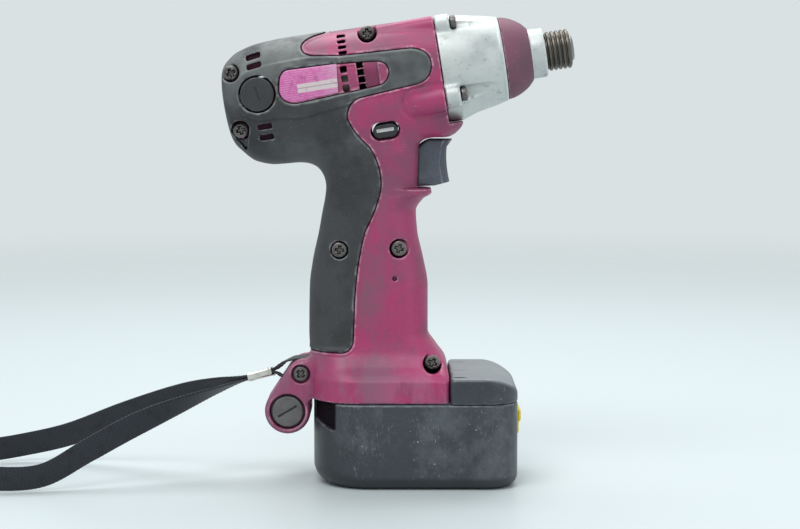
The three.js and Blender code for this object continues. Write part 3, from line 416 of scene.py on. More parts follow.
def bent(*steps):
    """Outline points: a pair is a corner, four numbers are a quadratic bend's control point and end."""
    points = [steps[0]]
    for step in steps[1:]:
        if len(step) == 2:
            points.append(step)
            continue
        (x0, z0), (cx, cz, x1, z1) = points[-1], step
        for t in np.linspace(0, 1, 9)[1:]:
            points.append(((1 - t) ** 2 * x0 + 2 * t * (1 - t) * cx + t * t * x1,
                           (1 - t) ** 2 * z0 + 2 * t * (1 - t) * cz + t * t * z1))
    return points


def outline(points, x, z):
    """Signed distance to a closed outline, negative inside."""
    points = np.asarray(points, float)
    nearest = np.full(np.broadcast(x, z).shape, 1e9, F4)
    inside = np.zeros(nearest.shape, bool)
    for (ax, az), (bx, bz) in zip(points, np.roll(points, -1, 0)):
        ex, ez = bx - ax, bz - az
        t = np.clip(((x - ax) * ex + (z - az) * ez) / max(ex * ex + ez * ez, 1e-9), 0, 1)
        nearest = np.minimum(nearest, (x - ax - t * ex) ** 2 + (z - az - t * ez) ** 2)
        if abs(ez) > 1e-9:
            inside ^= ((az > z) != (bz > z)) & (x < ax + (z - az) * ex / ez)
    distance = np.sqrt(nearest)
    return np.where(inside, -distance, distance).astype(F4)


def head_frame(x, z):
    """Place along the barrel axis and height above it."""
    return (x - HEAD_X) * COS + (z - HEAD_Z) * SIN, (z - HEAD_Z) * COS - (x - HEAD_X) * SIN


def from_head(points):
    s, y, h = points.T
    return np.stack([HEAD_X + s * COS - h * SIN, y, HEAD_Z + s * SIN + h * COS], 1)


CAP_CENTRE = from_head(np.array([(CAP_S, 0, CAP_H)]))[0]


# ------------------------------------------------------------------ fields
def join(a, b, k=0.0):
    if not k:
        return np.minimum(a, b)
    h = np.maximum(k - np.abs(a - b), 0) / k
    return np.minimum(a, b) - h * h * (k / 4)


def both(a, b, k=0.0):
    return -join(-a, -b, k)


def ramp(value, low, high):
    t = np.clip((value - low) / (high - low), 0, 1)
    return t * t * (3 - 2 * t)


def fillet(a, b, radius):
    """Meeting of two faces with a true round of the given radius."""
    u, v = a + radius, b + radius
    return np.hypot(np.maximum(u, 0), np.maximum(v, 0)) + np.minimum(np.maximum(u, v), 0) - radius


def rod(u, v, cu, cv, radius):
    return np.hypot(u - cu, v - cv) - radius


def box(x, y, z, centre, half, radius=0.3):
    qx, qy, qz = (np.abs(at - centre[i]) - half[i] + radius for i, at in enumerate((x, y, z)))
    outside = np.sqrt(np.maximum(qx, 0) ** 2 + np.maximum(qy, 0) ** 2 + np.maximum(qz, 0) ** 2)
    return outside + np.minimum(np.maximum(np.maximum(qx, qy), qz), 0) - radius


def slot2(u, v, centre, half, radius):
    """Rounded rectangle in a plane."""
    return fillet(np.abs(u - centre[0]) - half[0], np.abs(v - centre[1]) - half[1], radius)


def capsule(x, y, z, a, b, radius):
    ax, ay, az = a
    ex, ey, ez = (b[i] - a[i] for i in range(3))
    t = np.clip(((x - ax) * ex + (y - ay) * ey + (z - az) * ez) / (ex * ex + ey * ey + ez * ez), 0, 1)
    return np.sqrt((x - ax - t * ex) ** 2 + (y - ay - t * ey) ** 2 + (z - az - t * ez) ** 2) - radius


def plan(x, y, rear, front, half, rear_radius, front_radius):
    """Rounded rectangle seen from above, with its own corner radius at each end."""
    middle = (rear + front) / 2
    radius = np.where(x < middle, rear_radius, front_radius)
    return fillet(np.abs(x - middle) - (front - rear) / 2, np.abs(y) - half, radius)


class Field:
    """A block of sample points with a signed distance at each."""

    def __init__(self, low, high, step):
        self.low, self.step = np.asarray(low, float), step
        counts = np.ceil((np.asarray(high) - self.low) / step).astype(int) + 1
        axes = [(self.low[i] + step * np.arange(counts[i])).astype(F4) for i in range(3)]
        self.x, self.y, self.z = axes[0][:, None, None], axes[1][None, :, None], axes[2][None, None, :]
        self.d = np.full(counts, 50, F4)

    def part(self, low, high):
        """Index and coordinates of the block between two corners."""
        first = np.clip(np.floor((np.asarray(low) - self.low) / self.step).astype(int), 0, self.d.shape)
        last = np.clip(np.ceil((np.asarray(high) - self.low) / self.step).astype(int) + 1, 0, self.d.shape)
        index = tuple(slice(a, b) for a, b in zip(first, last))
        return index, self.x[index[0]], self.y[:, index[1]], self.z[:, :, index[2]]

    def cut(self, low, high, shape, k=0.5):
        index, x, y, z = self.part(low, high)
        if min(x.size, y.size, z.size):
            self.d[index] = both(self.d[index], -shape(x, y, z), k)

    def add(self, low, high, shape, k=0.5):
        index, x, y, z = self.part(low, high)
        if min(x.size, y.size, z.size):
            self.d[index] = join(self.d[index], shape(x, y, z), k)


def even(d, step, floor=0.75):
    """Rescales a field so that it climbs about one millimetre for each millimetre."""
    gx, gy, gz = np.gradient(d, step)
    return d / np.maximum(np.sqrt(gx * gx + gy * gy + gz * gz), floor)


def read(d, at):
    """Values of a field at places given in cells."""
    base = np.clip(np.floor(at).astype(int), 0, np.array(d.shape) - 2)
    t = (at - base).astype(F4)
    i, j, k = base.T
    u, v, w = t.T
    total = 0
    for di in (0, 1):
        for dj in (0, 1):
            for dk in (0, 1):
                weight = (u if di else 1 - u) * (v if dj else 1 - v) * (w if dk else 1 - w)
                total = total + weight * d[i + di, j + dj, k + dk]
    return total


def slope_at(d, at):
    out = []
    for axis in range(3):
        shift = np.zeros(3)
        shift[axis] = 0.6
        out.append(read(d, at + shift) - read(d, at - shift))
    return np.stack(out, 1) / 1.2


def skin(field):
    """Surface nets: one point in each cell that the surface crosses, one quad for each crossed edge."""
    d = field.d
    for axis in range(3):
        for end in (0, -1):
            face = [slice(None)] * 3
            face[axis] = end
            d[tuple(face)] = np.maximum(d[tuple(face)], 0.2)
    points, cells, flips = [], [], []
    for axis in range(3):
        b, c = (axis + 1) % 3, (axis + 2) % 3
        low, high = [slice(None)] * 3, [slice(None)] * 3
        low[axis], high[axis] = slice(0, -1), slice(1, None)
        first, second = d[tuple(low)], d[tuple(high)]
        where = np.nonzero((first < 0) != (second < 0))
        index = np.stack(where, 1)
        v0, v1 = first[where], second[where]
        place = index.astype(float)
        place[:, axis] += v0 / (v0 - v1)
        points.append(place)
        flips.append(v0 > 0)
        around = []
        for ob, oc in ((-1, -1), (0, -1), (0, 0), (-1, 0)):
            cell = index.copy()
            cell[:, b] += ob
            cell[:, c] += oc
            around.append(np.ravel_multi_index(cell.T, d.shape))
        cells.append(np.stack(around))
    cells, points, flips = np.concatenate(cells, 1), np.concatenate(points), np.concatenate(flips)
    _, corner = np.unique(cells, return_inverse=True)
    corner = corner.reshape(cells.shape)
    flat = corner.ravel()
    count = np.bincount(flat)
    at = np.stack([np.bincount(flat, np.tile(points[:, i], 4)) for i in range(3)], 1) / count[:, None]
    quads = corner.T.copy()
    quads[flips] = quads[flips][:, ::-1]
    for _ in range(2):
        slope = slope_at(d, at)
        size = np.maximum((slope ** 2).sum(1), 0.04 * field.step ** 2)
        move = -(read(d, at) / size)[:, None] * slope
        length = np.linalg.norm(move, axis=1)
        at = at + move * np.minimum(1, 0.35 / np.maximum(length, 1e-6))[:, None]
    return field.low + at * field.step, quads, {"edge": curvature(at, quads)}


def curvature(at, quads, rounds=2):
    """Convex edges come out above zero and hollows below, about one for a sharp corner."""
    a = quads.ravel()
    b = np.roll(quads, -1, 1).ravel()
    ends, others = np.concatenate([a, b]), np.concatenate([b, a])
    total = len(at)
    count = np.maximum(np.bincount(ends, minlength=total), 1)
    mean = np.stack([np.bincount(ends, at[others, i], total) for i in range(3)], 1) / count[:, None]
    p = at[quads]
    normal = np.cross(p[:, 2] - p[:, 0], p[:, 3] - p[:, 1])
    normals = np.stack([np.bincount(a, np.repeat(normal[:, i], 4), total) for i in range(3)], 1)
    normals /= np.maximum(np.linalg.norm(normals, axis=1), 1e-9)[:, None]
    value = -((mean - at) * normals).sum(1) * 4
    for _ in range(rounds):
        value = 0.4 * value + 0.6 * np.bincount(ends, value[others], total) / count
    return np.clip(value, -1, 1).astype(F4)


# ------------------------------------------------------------------ pieces
def piece(name, body, slot, shape, replaces=(), look=None):
    """A mesh object from (points in mm, faces of one size, attributes)."""
    points, faces, attributes = shape
    faces = np.asarray(faces)
    mesh = bpy.data.meshes.new(name)
    mesh.vertices.add(len(points))
    mesh.vertices.foreach_set("co", (np.asarray(points) * MM).astype(F4).ravel())
    mesh.loops.add(faces.size)
    mesh.loops.foreach_set("vertex_index", faces.ravel().astype(np.int32))
    mesh.polygons.add(len(faces))
    mesh.polygons.foreach_set("loop_start", (np.arange(len(faces)) * faces.shape[1]).astype(np.int32))
    mesh.polygons.foreach_set("use_smooth", np.ones(len(faces), bool))
    mesh.update(calc_edges=True)
    for key, values in attributes.items():
        mesh.attributes.new(key, "FLOAT", "POINT").data.foreach_set("value", np.asarray(values, F4))
    mesh.materials.append(LOOKS[look or slot].material)
    made = bpy.data.objects.new(name, mesh)
    bpy.context.collection.objects.link(made)
    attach(made, body)
    if replaces:
        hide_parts(*replaces)
    return made


def mirrored(shape):
    points, faces, attributes = shape
    return points * (1, -1, 1), faces[:, ::-1], attributes


def outward(points, quads):
    """Turns every face of a closed mesh round if it is inside out."""
    a, b, c = (points[quads[:, corner]] for corner in range(3))
    return quads[:, ::-1] if (a * np.cross(b, c)).sum() < 0 else quads


def turned(profile, segments=128):
    """Closed ring turned about the barrel axis from a closed (along, radius) profile."""
    profile = np.asarray(profile, float)
    angles = np.linspace(0, 2 * math.pi, segments, endpoint=False)
    count = len(profile)
    s = np.repeat(profile[None, :, 0], segments, 0)
    y = profile[None, :, 1] * np.cos(angles)[:, None]
    h = profile[None, :, 1] * np.sin(angles)[:, None]
    index = np.arange(segments * count).reshape(segments, count)
    ahead = np.roll(index, -1, 0)
    quads = np.stack([index, np.roll(index, -1, 1), np.roll(ahead, -1, 1), ahead], 2).reshape(-1, 4)
    points = np.stack([s, y, h], 2).reshape(-1, 3)
    quads = outward(points, quads)
    return from_head(points), quads, {"edge": curvature(points, quads, 0)}


def rounded(profile, radius=0.35, steps=4):
    """Rounds every corner of a closed profile."""
    profile = np.asarray(profile, float)
    out = []
    for before, corner, after in zip(np.roll(profile, 1, 0), profile, np.roll(profile, -1, 0)):
        back, ahead = before - corner, after - corner
        reach = min(radius, 0.45 * np.linalg.norm(back), 0.45 * np.linalg.norm(ahead))
        start = corner + back / np.linalg.norm(back) * reach
        end = corner + ahead / np.linalg.norm(ahead) * reach
        for t in np.linspace(0, 1, steps):
            out.append((1 - t) ** 2 * start + 2 * t * (1 - t) * corner + t * t * end)
    return np.array(out)


# ------------------------------------------------------------------ wrist strap
def route(rows, spacing):
    """Centripetal curve through the rows, with the roll carried along, at even spacing."""
    places = rows[:, :3]
    knots = np.concatenate([[0], np.cumsum(np.sqrt(np.linalg.norm(np.diff(places, axis=0), axis=1)))])
    fine = []
    for i in range(len(rows) - 1):
        for t in np.linspace(0, 1, 40, endpoint=False):
            fine.append((i, t))
    fine.append((len(rows) - 2, 1.0))
    points = []
    for i, t in fine:
        p1, p2 = rows[i], rows[i + 1]
        p0 = rows[i - 1] if i else 2 * p1 - p2
        p3 = rows[i + 2] if i + 2 < len(rows) else 2 * p2 - p1
        span = knots[i + 1] - knots[i]
        before = knots[i] - knots[i - 1] if i else span
        after = knots[i + 2] - knots[i + 1] if i + 2 < len(rows) else span
        m1 = span * ((p1 - p0) / before - (p2 - p0) / (before + span) + (p2 - p1) / span)
        m2 = span * ((p2 - p1) / span - (p3 - p1) / (span + after) + (p3 - p2) / after)
        points.append((2 * t ** 3 - 3 * t * t + 1) * p1 + (t ** 3 - 2 * t * t + t) * m1
                      + (3 * t * t - 2 * t ** 3) * p2 + (t ** 3 - t * t) * m2)
    points = np.array(points)
    walked = np.concatenate([[0], np.cumsum(np.linalg.norm(np.diff(points[:, :3], axis=0), axis=1))])
    marks = np.linspace(0, walked[-1], int(walked[-1] / spacing) + 1)
    return np.stack([np.interp(marks, walked, points[:, i]) for i in range(4)], 1), marks


def directions(points, rolls, turn_at):
    ahead = np.gradient(points, axis=0)
    ahead /= np.linalg.norm(ahead, axis=1)[:, None]
    level = np.cross((0, 0, 1), ahead)
    level /= np.linalg.norm(level, axis=1)[:, None]
    upright = np.cross(ahead, level)
    level[turn_at:] *= -1
    a = np.radians(rolls)[:, None]
    across = level * np.cos(a) + upright * np.sin(a)
    return ahead, across, np.cross(ahead, across)


def strap_shape(spacing):
    walked, marks = route(STRAP_ROUTE, spacing)
    points, rolls = walked[:, :3], walked[:, 3]
    _, across, face = directions(points, rolls, len(points) // 2)
    lanes = 30
    v = np.linspace(-1, 1, lanes)
    thickness = STRAP_THICKNESS / 2 * np.sqrt(np.clip(1 - np.abs(v) ** 8, 0.16, 1))
    width = v * (STRAP_WIDTH / 2 - 0.15)
    ring, yarns = [], []
    for side in (1, -1):
        order = slice(None) if side > 0 else slice(None, None, -1)
        lane, w, t = v[order], width[order], thickness[order]
        ribs = np.cos(lane * math.pi * 7)
        slant = np.where(ribs > 0, 1, -1)
        yarn = 0.5 + 0.5 * np.sin(2 * math.pi * (marks[:, None] / 1.9 + slant * lane * 3.2))
        lift = 0.16 * yarn * np.abs(ribs) - 0.08
        wander = 0.12 * np.sin(marks * 0.9) + 0.08 * np.sin(marks * 2.3)
        side_shift = w[None, :] * (1 + 0.012 * wander[:, None])
        ring.append(points[:, None] + across[:, None] * side_shift[..., None]
                    + face[:, None] * (side * (t[None, :] + lift))[..., None])
        yarns.append(yarn * np.abs(ribs))
    grid = np.concatenate(ring, 1)
    rows, around = grid.shape[:2]
    index = np.arange(rows * around).reshape(rows, around)
    nxt = np.roll(index, -1, 1)
    quads = np.stack([index[:-1], nxt[:-1], nxt[1:], index[1:]], 2).reshape(-1, 4)
    caps = []
    for row, flip in ((0, True), (rows - 1, False)):
        for i in range(lanes - 1):
            quad = [index[row, i], index[row, i + 1], index[row, around - 2 - i], index[row, around - 1 - i]]
            caps.append(quad[::-1] if not flip else quad)
    quads = np.concatenate([quads, np.array(caps)[:, ::-1]])
    flat = grid.reshape(-1, 3)
    return flat, outward(flat, quads), {"yarn": np.concatenate(yarns, 1).ravel()}, points


def crimp_shape():
    """Pressed metal band with rolled edges and a closing seam along its near side."""
    ahead = (CRIMP_TO - CRIMP_FROM) / np.linalg.norm(CRIMP_TO - CRIMP_FROM)
    level = np.cross((0, 0, 1), ahead)
    level /= np.linalg.norm(level)
    a = math.radians(CRIMP_ROLL)
    across = level * math.cos(a) + np.cross(ahead, level) * math.sin(a)
    face = np.cross(ahead, across)
    half = np.linalg.norm(CRIMP_TO - CRIMP_FROM) / 2
    field = Field((-half - 1, -CRIMP_WIDTH / 2 - 1, -CRIMP_THICKNESS / 2 - 1),
                  (half + 1, CRIMP_WIDTH / 2 + 1, CRIMP_THICKNESS / 2 + 1), 0.14)
    x, y, z = field.x, field.y, field.z
    outer = slot2(y, z, (0, 0), (CRIMP_WIDTH / 2, CRIMP_THICKNESS / 2), 1.5)
    bulge = 0.18 * ramp(np.abs(x), half - 1.6, half - 0.9)
    shell = both(outer + 0.18 - bulge, -(outer + 0.18 + CRIMP_WALL), 0.15)
    field.d = both(shell, np.abs(x) - half, 0.3).astype(F4)
    seam = np.hypot(y + CRIMP_WIDTH / 2, z + 0.35) - 0.3
    field.d = both(field.d, -(seam + 0 * x), 0.15)
    points, quads, attributes = skin(field)
    middle = (CRIMP_FROM + CRIMP_TO) / 2
    return middle + points @ np.stack([ahead, across, face]), quads, attributes


*strap_mesh, strap_line = strap_shape(0.42)
strap = piece("webbing_strap", "housing", "webbing", strap_mesh, ["wrist_strap"])
crimp = piece("pressed_crimp", "housing", "crimp", crimp_shape(), ["strap_crimp"])

# ------------------------------------------------------------------ outer forms
GRIP_EDGE = bent(
    (-112, 238), (-43.5, 238), (-43.5, 222.9), (-50.2, 220.6), (-56.2, 217.8, -56, 214.8),
    (-55.6, 211.4, -50, 210.8), (-37.2, 210.8), (-3, 214.6), (7, 214, 7, 206),
    (7, 198.5, -3, 196.8), (-27, 191), (-33.5, 189, -33.5, 181), (-31, 174, -23, 167),
    (-16.8, 158, -17.3, 147),
    (-19, 137, -25, 126), (-30, 108, -30.6, 84), (-31, 72), (-31.5, 66.2, -37, 66), (-60, 66.4), (-60, 150),
    (-112, 150))
WINDOW = bent(
    (-66.5, 197), (-66.3, 203.8, -62, 204.3), (-45, 206.6), (-20, 208.6), (-13.4, 208.6, -13.2, 202.6),
    (-13.8, 197.4, -19.5, 196.2), (-57.6, 187.9), (-65.4, 187.4, -66.5, 194))
PLATE = bent(
    (-66.0, 197.4), (-66.0, 203.6, -61.6, 204.2), (-38.4, 207.2), (-37.6, 193.2), (-57.4, 188.6),
    (-65.2, 188.0, -66.0, 194.2))
LUG = bent(
    (-46, 62), (-56.5, 61.5), (-61.5, 60.5, -64.7, 55), (-72.88, 42.42),
    *[(RING_X + RING_R * math.cos(math.radians(a)), RING_Z + RING_R * math.sin(math.radians(a)))
      for a in range(150, 369, 8)],
    (-52.5, 43.2), (-46, 43.2))
# baffles behind the rear vents: height on the barrel and half height
BAFFLES = ((18.5, 8.0), (-18.5, 9.0))
PLATEAU = bent(
    (-89.5, 13.8), (-80, 14.9, -66, 15.2), (-48, 14.6), (-44, -10), (-70, -13.5), (-82, -11.5, -89.5, -11.2))


def barrel(x, y, z):
    """Scaled distance to the barrel's side skin, without its ends."""
    s, h = head_frame(x, z)
    up, down, half = smooth(BARREL, s)
    tall = np.where(h > 0, up, down)
    reach = ((np.abs(y) / half) ** SQUARENESS + (np.abs(h) / tall) ** SQUARENESS) ** (1 / SQUARENESS)
    return ((reach - 1) * np.minimum(half, tall)).astype(F4)


def handle(x, y, z):
    rear, front, half, rear_radius, front_radius = smooth(HANDLE, z)
    return plan(x, y, rear, front, half, rear_radius, front_radius).astype(F4)


class Shell:
    """The fields that the housing, the grips and the plate share, on one side of the middle plane."""

    def __init__(self, step):
        self.field = Field((-111, -36.4, 22.4), (28, 1.1, 236), step)
        f = self.field
        x, z = f.x, f.z
        self.s, self.h = head_frame(x, z)
        sides = np.full(f.d.shape, 50, F4)
        index, bx, by, bz = f.part((-111, -37, 138), (28, 2, 236))
        sides[index] = even(barrel(bx, by, bz), step, 0.55)
        self.barrel = both(sides, -107.9 - self.s, 4)
        index, hx, hy, hz = f.part((-66, -37, 22), (28, 2, 204))
        body = np.full(f.d.shape, 50, F4)
        body[index] = even(handle(hx, hy, hz), step, 0.9)
        self.handle = both(body, z - 183, 4)
        self.core = join(both(self.barrel, self.s - 0.6, 1), self.handle, 11)
        self.grip = outline(GRIP_EDGE, x, z)
        self.window = outline(WINDOW, x, z)
        self.zone = np.maximum(self.grip, -self.window)

    def blank(self):
        """An empty field on the same points."""
        f = Field.__new__(Field)
        f.low, f.step, f.x, f.y, f.z = (getattr(self.field, key) for key in ("low", "step", "x", "y", "z"))
        return f


def vents(field, extra):
    """Cuts every vent. extra widens the cut, so a grip clears the slot in the housing behind it."""
    for height in (15.0, 19.6):
        vent(field, (-89.1, height), (3.5, 1.25), 1.0, extra, 14.0, 0.14)
    for height in (-14.6, -19.8):
        vent(field, (-88.4, height), (3.4, 1.25), 1.0, extra, 14.0, 0.0)
    if extra:
        return
    for i in range(4):
        vent(field, (-45.7, 14.6 + 2.7 * i), (2.0, 0.75), 0.6, 0, 10.0, 0)
    for i in range(3):
        vent(field, (-46.6, -2.4 + 4.5 * i), (1.6, 1.6), 0.6, 0, 10.0, 0)


def vent(field, centre, half, radius, extra, deep, lean):
    s0, h0 = centre
    around = from_head(np.array([(s0 + a, 0, h0 + b) for a in (-6, 6) for b in (-6, 6)]))

    def shape(x, y, z):
        s, h = head_frame(x, z)
        h = h - h0 - lean * (s - s0)
        flat = slot2(s - s0, h, (0, 0), (half[0] + extra, half[1] + extra), radius)
        return np.maximum(flat + 0 * y, y + deep)

    field.cut(around.min(0) - (0, 40, 0), around.max(0), shape, 0.5)


def housing_outside(f, shell):
    """Outer form with its lips, chin, swellings and lug, and the room for the hammer case."""
    y, z, s, h = f.y, f.z, shell.s, shell.h
    f.d = both(shell.core, 42.6 - z + 0 * y, 0.7)
    # a fine lip beside the soft grip, and a fine line outside the lip
    beside = shell.zone
    f.d = f.d - 0.28 * np.exp(-((beside - 0.95) / 0.5) ** 2) + 0.16 * np.exp(-((beside - 2.0) / 0.4) ** 2)
    f.add((-24, -26, 168), (28, 2, 188),
          lambda x, y, z: both(plan(x, y, *smooth(CHIN, z)), np.abs(z - 177.3) - 6, 2.5), 5)
    for start, end, radius in SWELLINGS:
        a, b = from_head(np.array([start, end]))
        f.add((-45, -36, 180), (28, 2, 236), lambda x, y, z: capsule(x, y, z, a, b, radius), 1.6)
    a, b = from_head(np.array([(-13.6, 0, -15), (6, 0, -14.4)]))
    index, bx, by, bz = f.part((-22, -36, 172), (26, -14, 210))
    beside = capsule(bx, 0 * by, bz, (a[0], 0, a[2]), (b[0], 0, b[2]), 7.6)
    f.d[index] += 0.55 * np.exp(-(beside / 1.1) ** 2)
    index, lx, ly, lz = f.part((-78, -16, 22.4), (-44, 2, 66))
    lug = both(outline(LUG, lx, lz), np.abs(ly) - LUG_HALF, 3.2)
    f.d[index] = join(f.d[index], lug, 4)
    # joint face, and the room for the hammer case with its flat-topped foot
    below = np.minimum(np.hypot(y, h) - CASE_CLEAR, -27.3 - h + 0 * y)
    f.d = both(f.d, -both(below, -s + 0 * y, 0.4), 0.5)
    f.d = np.where((s > -6) & (h > -20.5), both(f.d, s + 0 * y, 0.8), f.d)


def housing_inside(f, shell):
    """The hollow, with posts for the screws and baffles behind the rear vents."""
    y, s, h = f.y, shell.s, shell.h
    f.d = both(f.d, -(shell.core + WALL), 0.3)
    for name, (sx, sz, seat) in SCREWS.items():
        if name == "lug":
            continue
        index, px, py, pz = f.part((sx - 6, -seat - 4, sz - 6), (sx + 6, 2, sz + 6))
        post = both(rod(px, pz, sx, sz, 4.1) + 0 * py, -py - seat - 3, 0.3)
        f.d[index] = join(f.d[index], np.maximum(post, shell.core[index] + 0.6), 0.6)
    for h0, half in BAFFLES:
        baffle = np.maximum(slot2(s, h, (-91, h0), (13, half), 0.5) + 0 * y, np.abs(y + 12) - 0.8)
        f.d = join(f.d, np.maximum(baffle, shell.core + 0.6), 0.3)
    spigot = from_head(np.array([(-12, 0, 0), (2, 0, 0)]))
    f.cut((-22, -26, 176), (24, 2, 234), lambda x, y, z: capped_rod(x, y, z, *spigot, 22.9), 0.3)
    f.cut((-60, -34, 22), (20, 2, 47.2),
          lambda x, y, z: both(plan(x, y, *smooth(HANDLE, z)) + WALL, z - 47, 0.3), 0.3)


def housing_openings(f, side):
    """Holes, slots and vents. The screw seats and the small round hole are on the right half only."""
    f.cut((-12, -10, 143), (24, 2, 175),
          lambda x, y, z: box(x, y, z, (7, 0, 158.8), (16, 9.3, 12.4), 1.2), 0.6)
    f.cut((-50, -37, 160), (0, -10, 196), lambda x, y, z: button_rod(x, y, z, 0.3), 0.2)
    f.cut((-50, -37, 160), (0, -10, 196), lambda x, y, z: np.maximum(button_rod(x, y, z, 1.0), y + 22.8), 0.6)
    for sy, sh in CASE_SCREWS:
        if sy < 0:
            ends = from_head(np.array([(-15, sy, sh), (3, sy, sh)]))
            f.cut((-12, -30, 180), (24, -8, 234), lambda x, y, z: capped_rod(x, y, z, *ends, 2.3), 0.2)
    # the lug's ring: a seat and a through hole on the right, a blind hole from the middle on the left
    ring = ((-80, -16, 22), (-50, 2, 50))
    if side < 0:
        f.cut(*ring, lambda x, y, z: both(
            rod(x, z, RING_X, RING_Z, COIN_SEAT_R) + 0 * y, y - COIN_SEAT_Y, 0.2), 0.7)
        f.cut(*ring, lambda x, y, z: rod(x, z, RING_X, RING_Z, COIN_HOLE_R) + 0 * y, 0.4)
    else:
        f.cut(*ring, lambda x, y, z: both(
            rod(x, z, RING_X, RING_Z, COIN_HOLE_R) + 0 * y, COIN_HOLE_END - y, 0.2), 0.4)
    f.cut((-80, -9, 46), (-50, 2, 74), lambda x, y, z: both(
        outline(STRAP_SEAT, x, z) + 0 * y, np.abs(y) - STRAP_SEAT_HALF, 0.6), 0.7)
    f.cut((-80, -9, 46), (-50, 2, 56),
          lambda x, y, z: box(x, y, z, (-70, 0, 51.1), (7.5, STRAP_SEAT_HALF, 1.5), 0.4), 0.5)
    f.cut(CAP_CENTRE - (11, 37, 11), CAP_CENTRE + (11, -19, 11),
          lambda x, y, z: both(rod(x, z, CAP_CENTRE[0], CAP_CENTRE[2], CAP_BORE) + 0 * y, y + 20, 0), 0.3)
    vents(f, 0)
    louvre(f)
    if side < 0:
        seats(f, SCREW_RECESS)
        f.cut((-15, -30, 98), (-8, -12, 107),
              lambda x, y, z: np.maximum(rod(x, z, -10.6, 102.4, 1.2) + 0 * y, y + 18.4), 0.5)


def housing_shape(shell, side):
    """Right half for side -1. For side 1 the same half without screw seats, to be mirrored into the left."""
    f = shell.blank()
    housing_outside(f, shell)
    housing_inside(f, shell)
    housing_openings(f, side)
    # room for the soft grip
    room = np.maximum(shell.zone - GAP, -(shell.core + GRIP_DEPTH + GAP))
    f.d = both(f.d, -room, 0.35)
    f.d = both(f.d, f.y + SPLIT, 0.12)
    return cavity_shade(shell, skin(f))


def cavity_shade(shell, shape):
    """Adds how deep each point lies under the outer form, so cavities can be painted darker as shade."""
    points, quads, values = shape
    depth = -read(shell.core, (points - shell.field.low) / shell.field.step)
    return points, quads, {**values, "cavity_shade": ramp(depth, 0.9, 1.7)}


def capped_rod(x, y, z, a, b, radius):
    """Flat-ended rod between two points."""
    axis = (b - a) / np.linalg.norm(b - a)
    along = (x - a[0]) * axis[0] + (y - a[1]) * axis[1] + (z - a[2]) * axis[2]
    away2 = (x - a[0]) ** 2 + (y - a[1]) ** 2 + (z - a[2]) ** 2 - along ** 2
    side = np.sqrt(np.maximum(away2, 0)) - radius
    return both(side, np.abs(along - np.linalg.norm(b - a) / 2) - np.linalg.norm(b - a) / 2, 0.2)


def button_flat(s, h):
    """The button's outline: a slot with round ends."""
    along = np.maximum(np.abs(s - BUTTON_S) - (BUTTON_LENGTH - BUTTON_WIDTH) / 2, 0)
    return np.hypot(along, h - BUTTON_H) - BUTTON_WIDTH / 2


def button_rod(x, y, z, margin):
    return button_flat(*head_frame(x, z)) - margin + 0 * y


def seats(field, radius):
    for sx, sz, seat in SCREWS.values():
        field.cut((sx - 7, -37, sz - 7), (sx + 7, 2, sz + 7), lambda x, y, z: both(
            rod(x, z, sx, sz, radius) + 0 * y, y + seat, 0.2), 0.9)


def louvre(field):
    """Rectangular opening with three thin ribs: open at its rear, with a shallow flat floor at its front."""
    centre = from_head(np.array([(-35.6, 0, 2.3)]))[0]

    def opening(x, y, z):
        s, h = head_frame(x, z)
        flat = slot2(s, h, (-35.2, 2.3), (5.0, 6.6), 0.6)
        floor = np.where(s < -37.2, -6.0, -26.7)
        ribs = np.minimum(np.minimum(np.abs(h + 1.2), np.abs(h - 2.3)), np.abs(h - 5.8)) - 0.3
        ribs = np.maximum(ribs + 0.5 * ramp(s, -37.2, -34) + 0 * y, -(y + 27.5))
        return np.maximum(np.maximum(flat + 0 * y, y - floor), -ribs)

    field.cut(centre - (9, 40, 10), centre + (9, 0, 10), opening, 0.3)


def grip_shape(shell, side):
    f = shell.blank()
    y, s, h = f.y, shell.s, shell.h
    plateau = join(outline(PLATEAU, s, h), rod(s, h, CAP_S, CAP_H, 12.4), 3)
    lift = 0.85 * ramp(-plateau, -0.5, 0.5) * ramp(-y, 14, 20)
    rim = 0.28 * ramp(-shell.zone, 3.2, 0.6)
    outer = shell.core - 0.2 - lift - rim * ramp(-shell.zone, 0, 0.4)
    f.d = both(outer, shell.zone + 0 * y, 1.3)
    f.d = both(f.d, -(shell.core + GRIP_DEPTH), 0.2)
    f.cut(CAP_CENTRE - (11, 37, 11), CAP_CENTRE + (11, 2, 11),
          lambda x, y, z: rod(x, z, CAP_CENTRE[0], CAP_CENTRE[2], CAP_BORE + 0.15) + 0 * y, 0.9)
    vents(f, 0.15)
    if side < 0:
        seats(f, SCREW_RECESS - 0.3)
        # drop-shaped run-out below the lower rear screw
        sx, sz, _ = SCREWS["rear_bottom"]
        index, px, py, pz = f.part((sx - 8, -36, sz - 14), (sx + 8, -4, sz + 6))
        t = np.clip(((px - sx) * 0.25 - (pz - sz)) / 9.0, 0, 1)
        drop = np.hypot(px - sx - 2.1 * t, pz - sz + 8.5 * t) - SCREW_RECESS * (1 - 0.8 * t)
        f.d[index] = both(f.d[index], -np.maximum(drop + 0 * py, -(shell.core[index] + 1.1)), 0.5)
    f.d = both(f.d, y + SPLIT, 0.12)
    return cavity_shade(shell, skin(f))


def plate_shape():
    """Thin rating plate that follows the barrel, with rolled edges."""
    f = Field((-69, -31.5, 185), (-35, -18, 210), 0.25)
    sides = even(barrel(f.x, f.y, f.z), f.step, 0.55)
    zone = outline(PLATE, f.x, f.z)
    f.d = both(both(sides - 0.75, zone + 0 * f.y, 0.5), -(sides - 0.3), 0.1)
    points, quads, attributes = skin(f)
    along, high = head_frame(points[:, 0], points[:, 2])
    return points, quads, {**attributes, "along": along, "high": high}


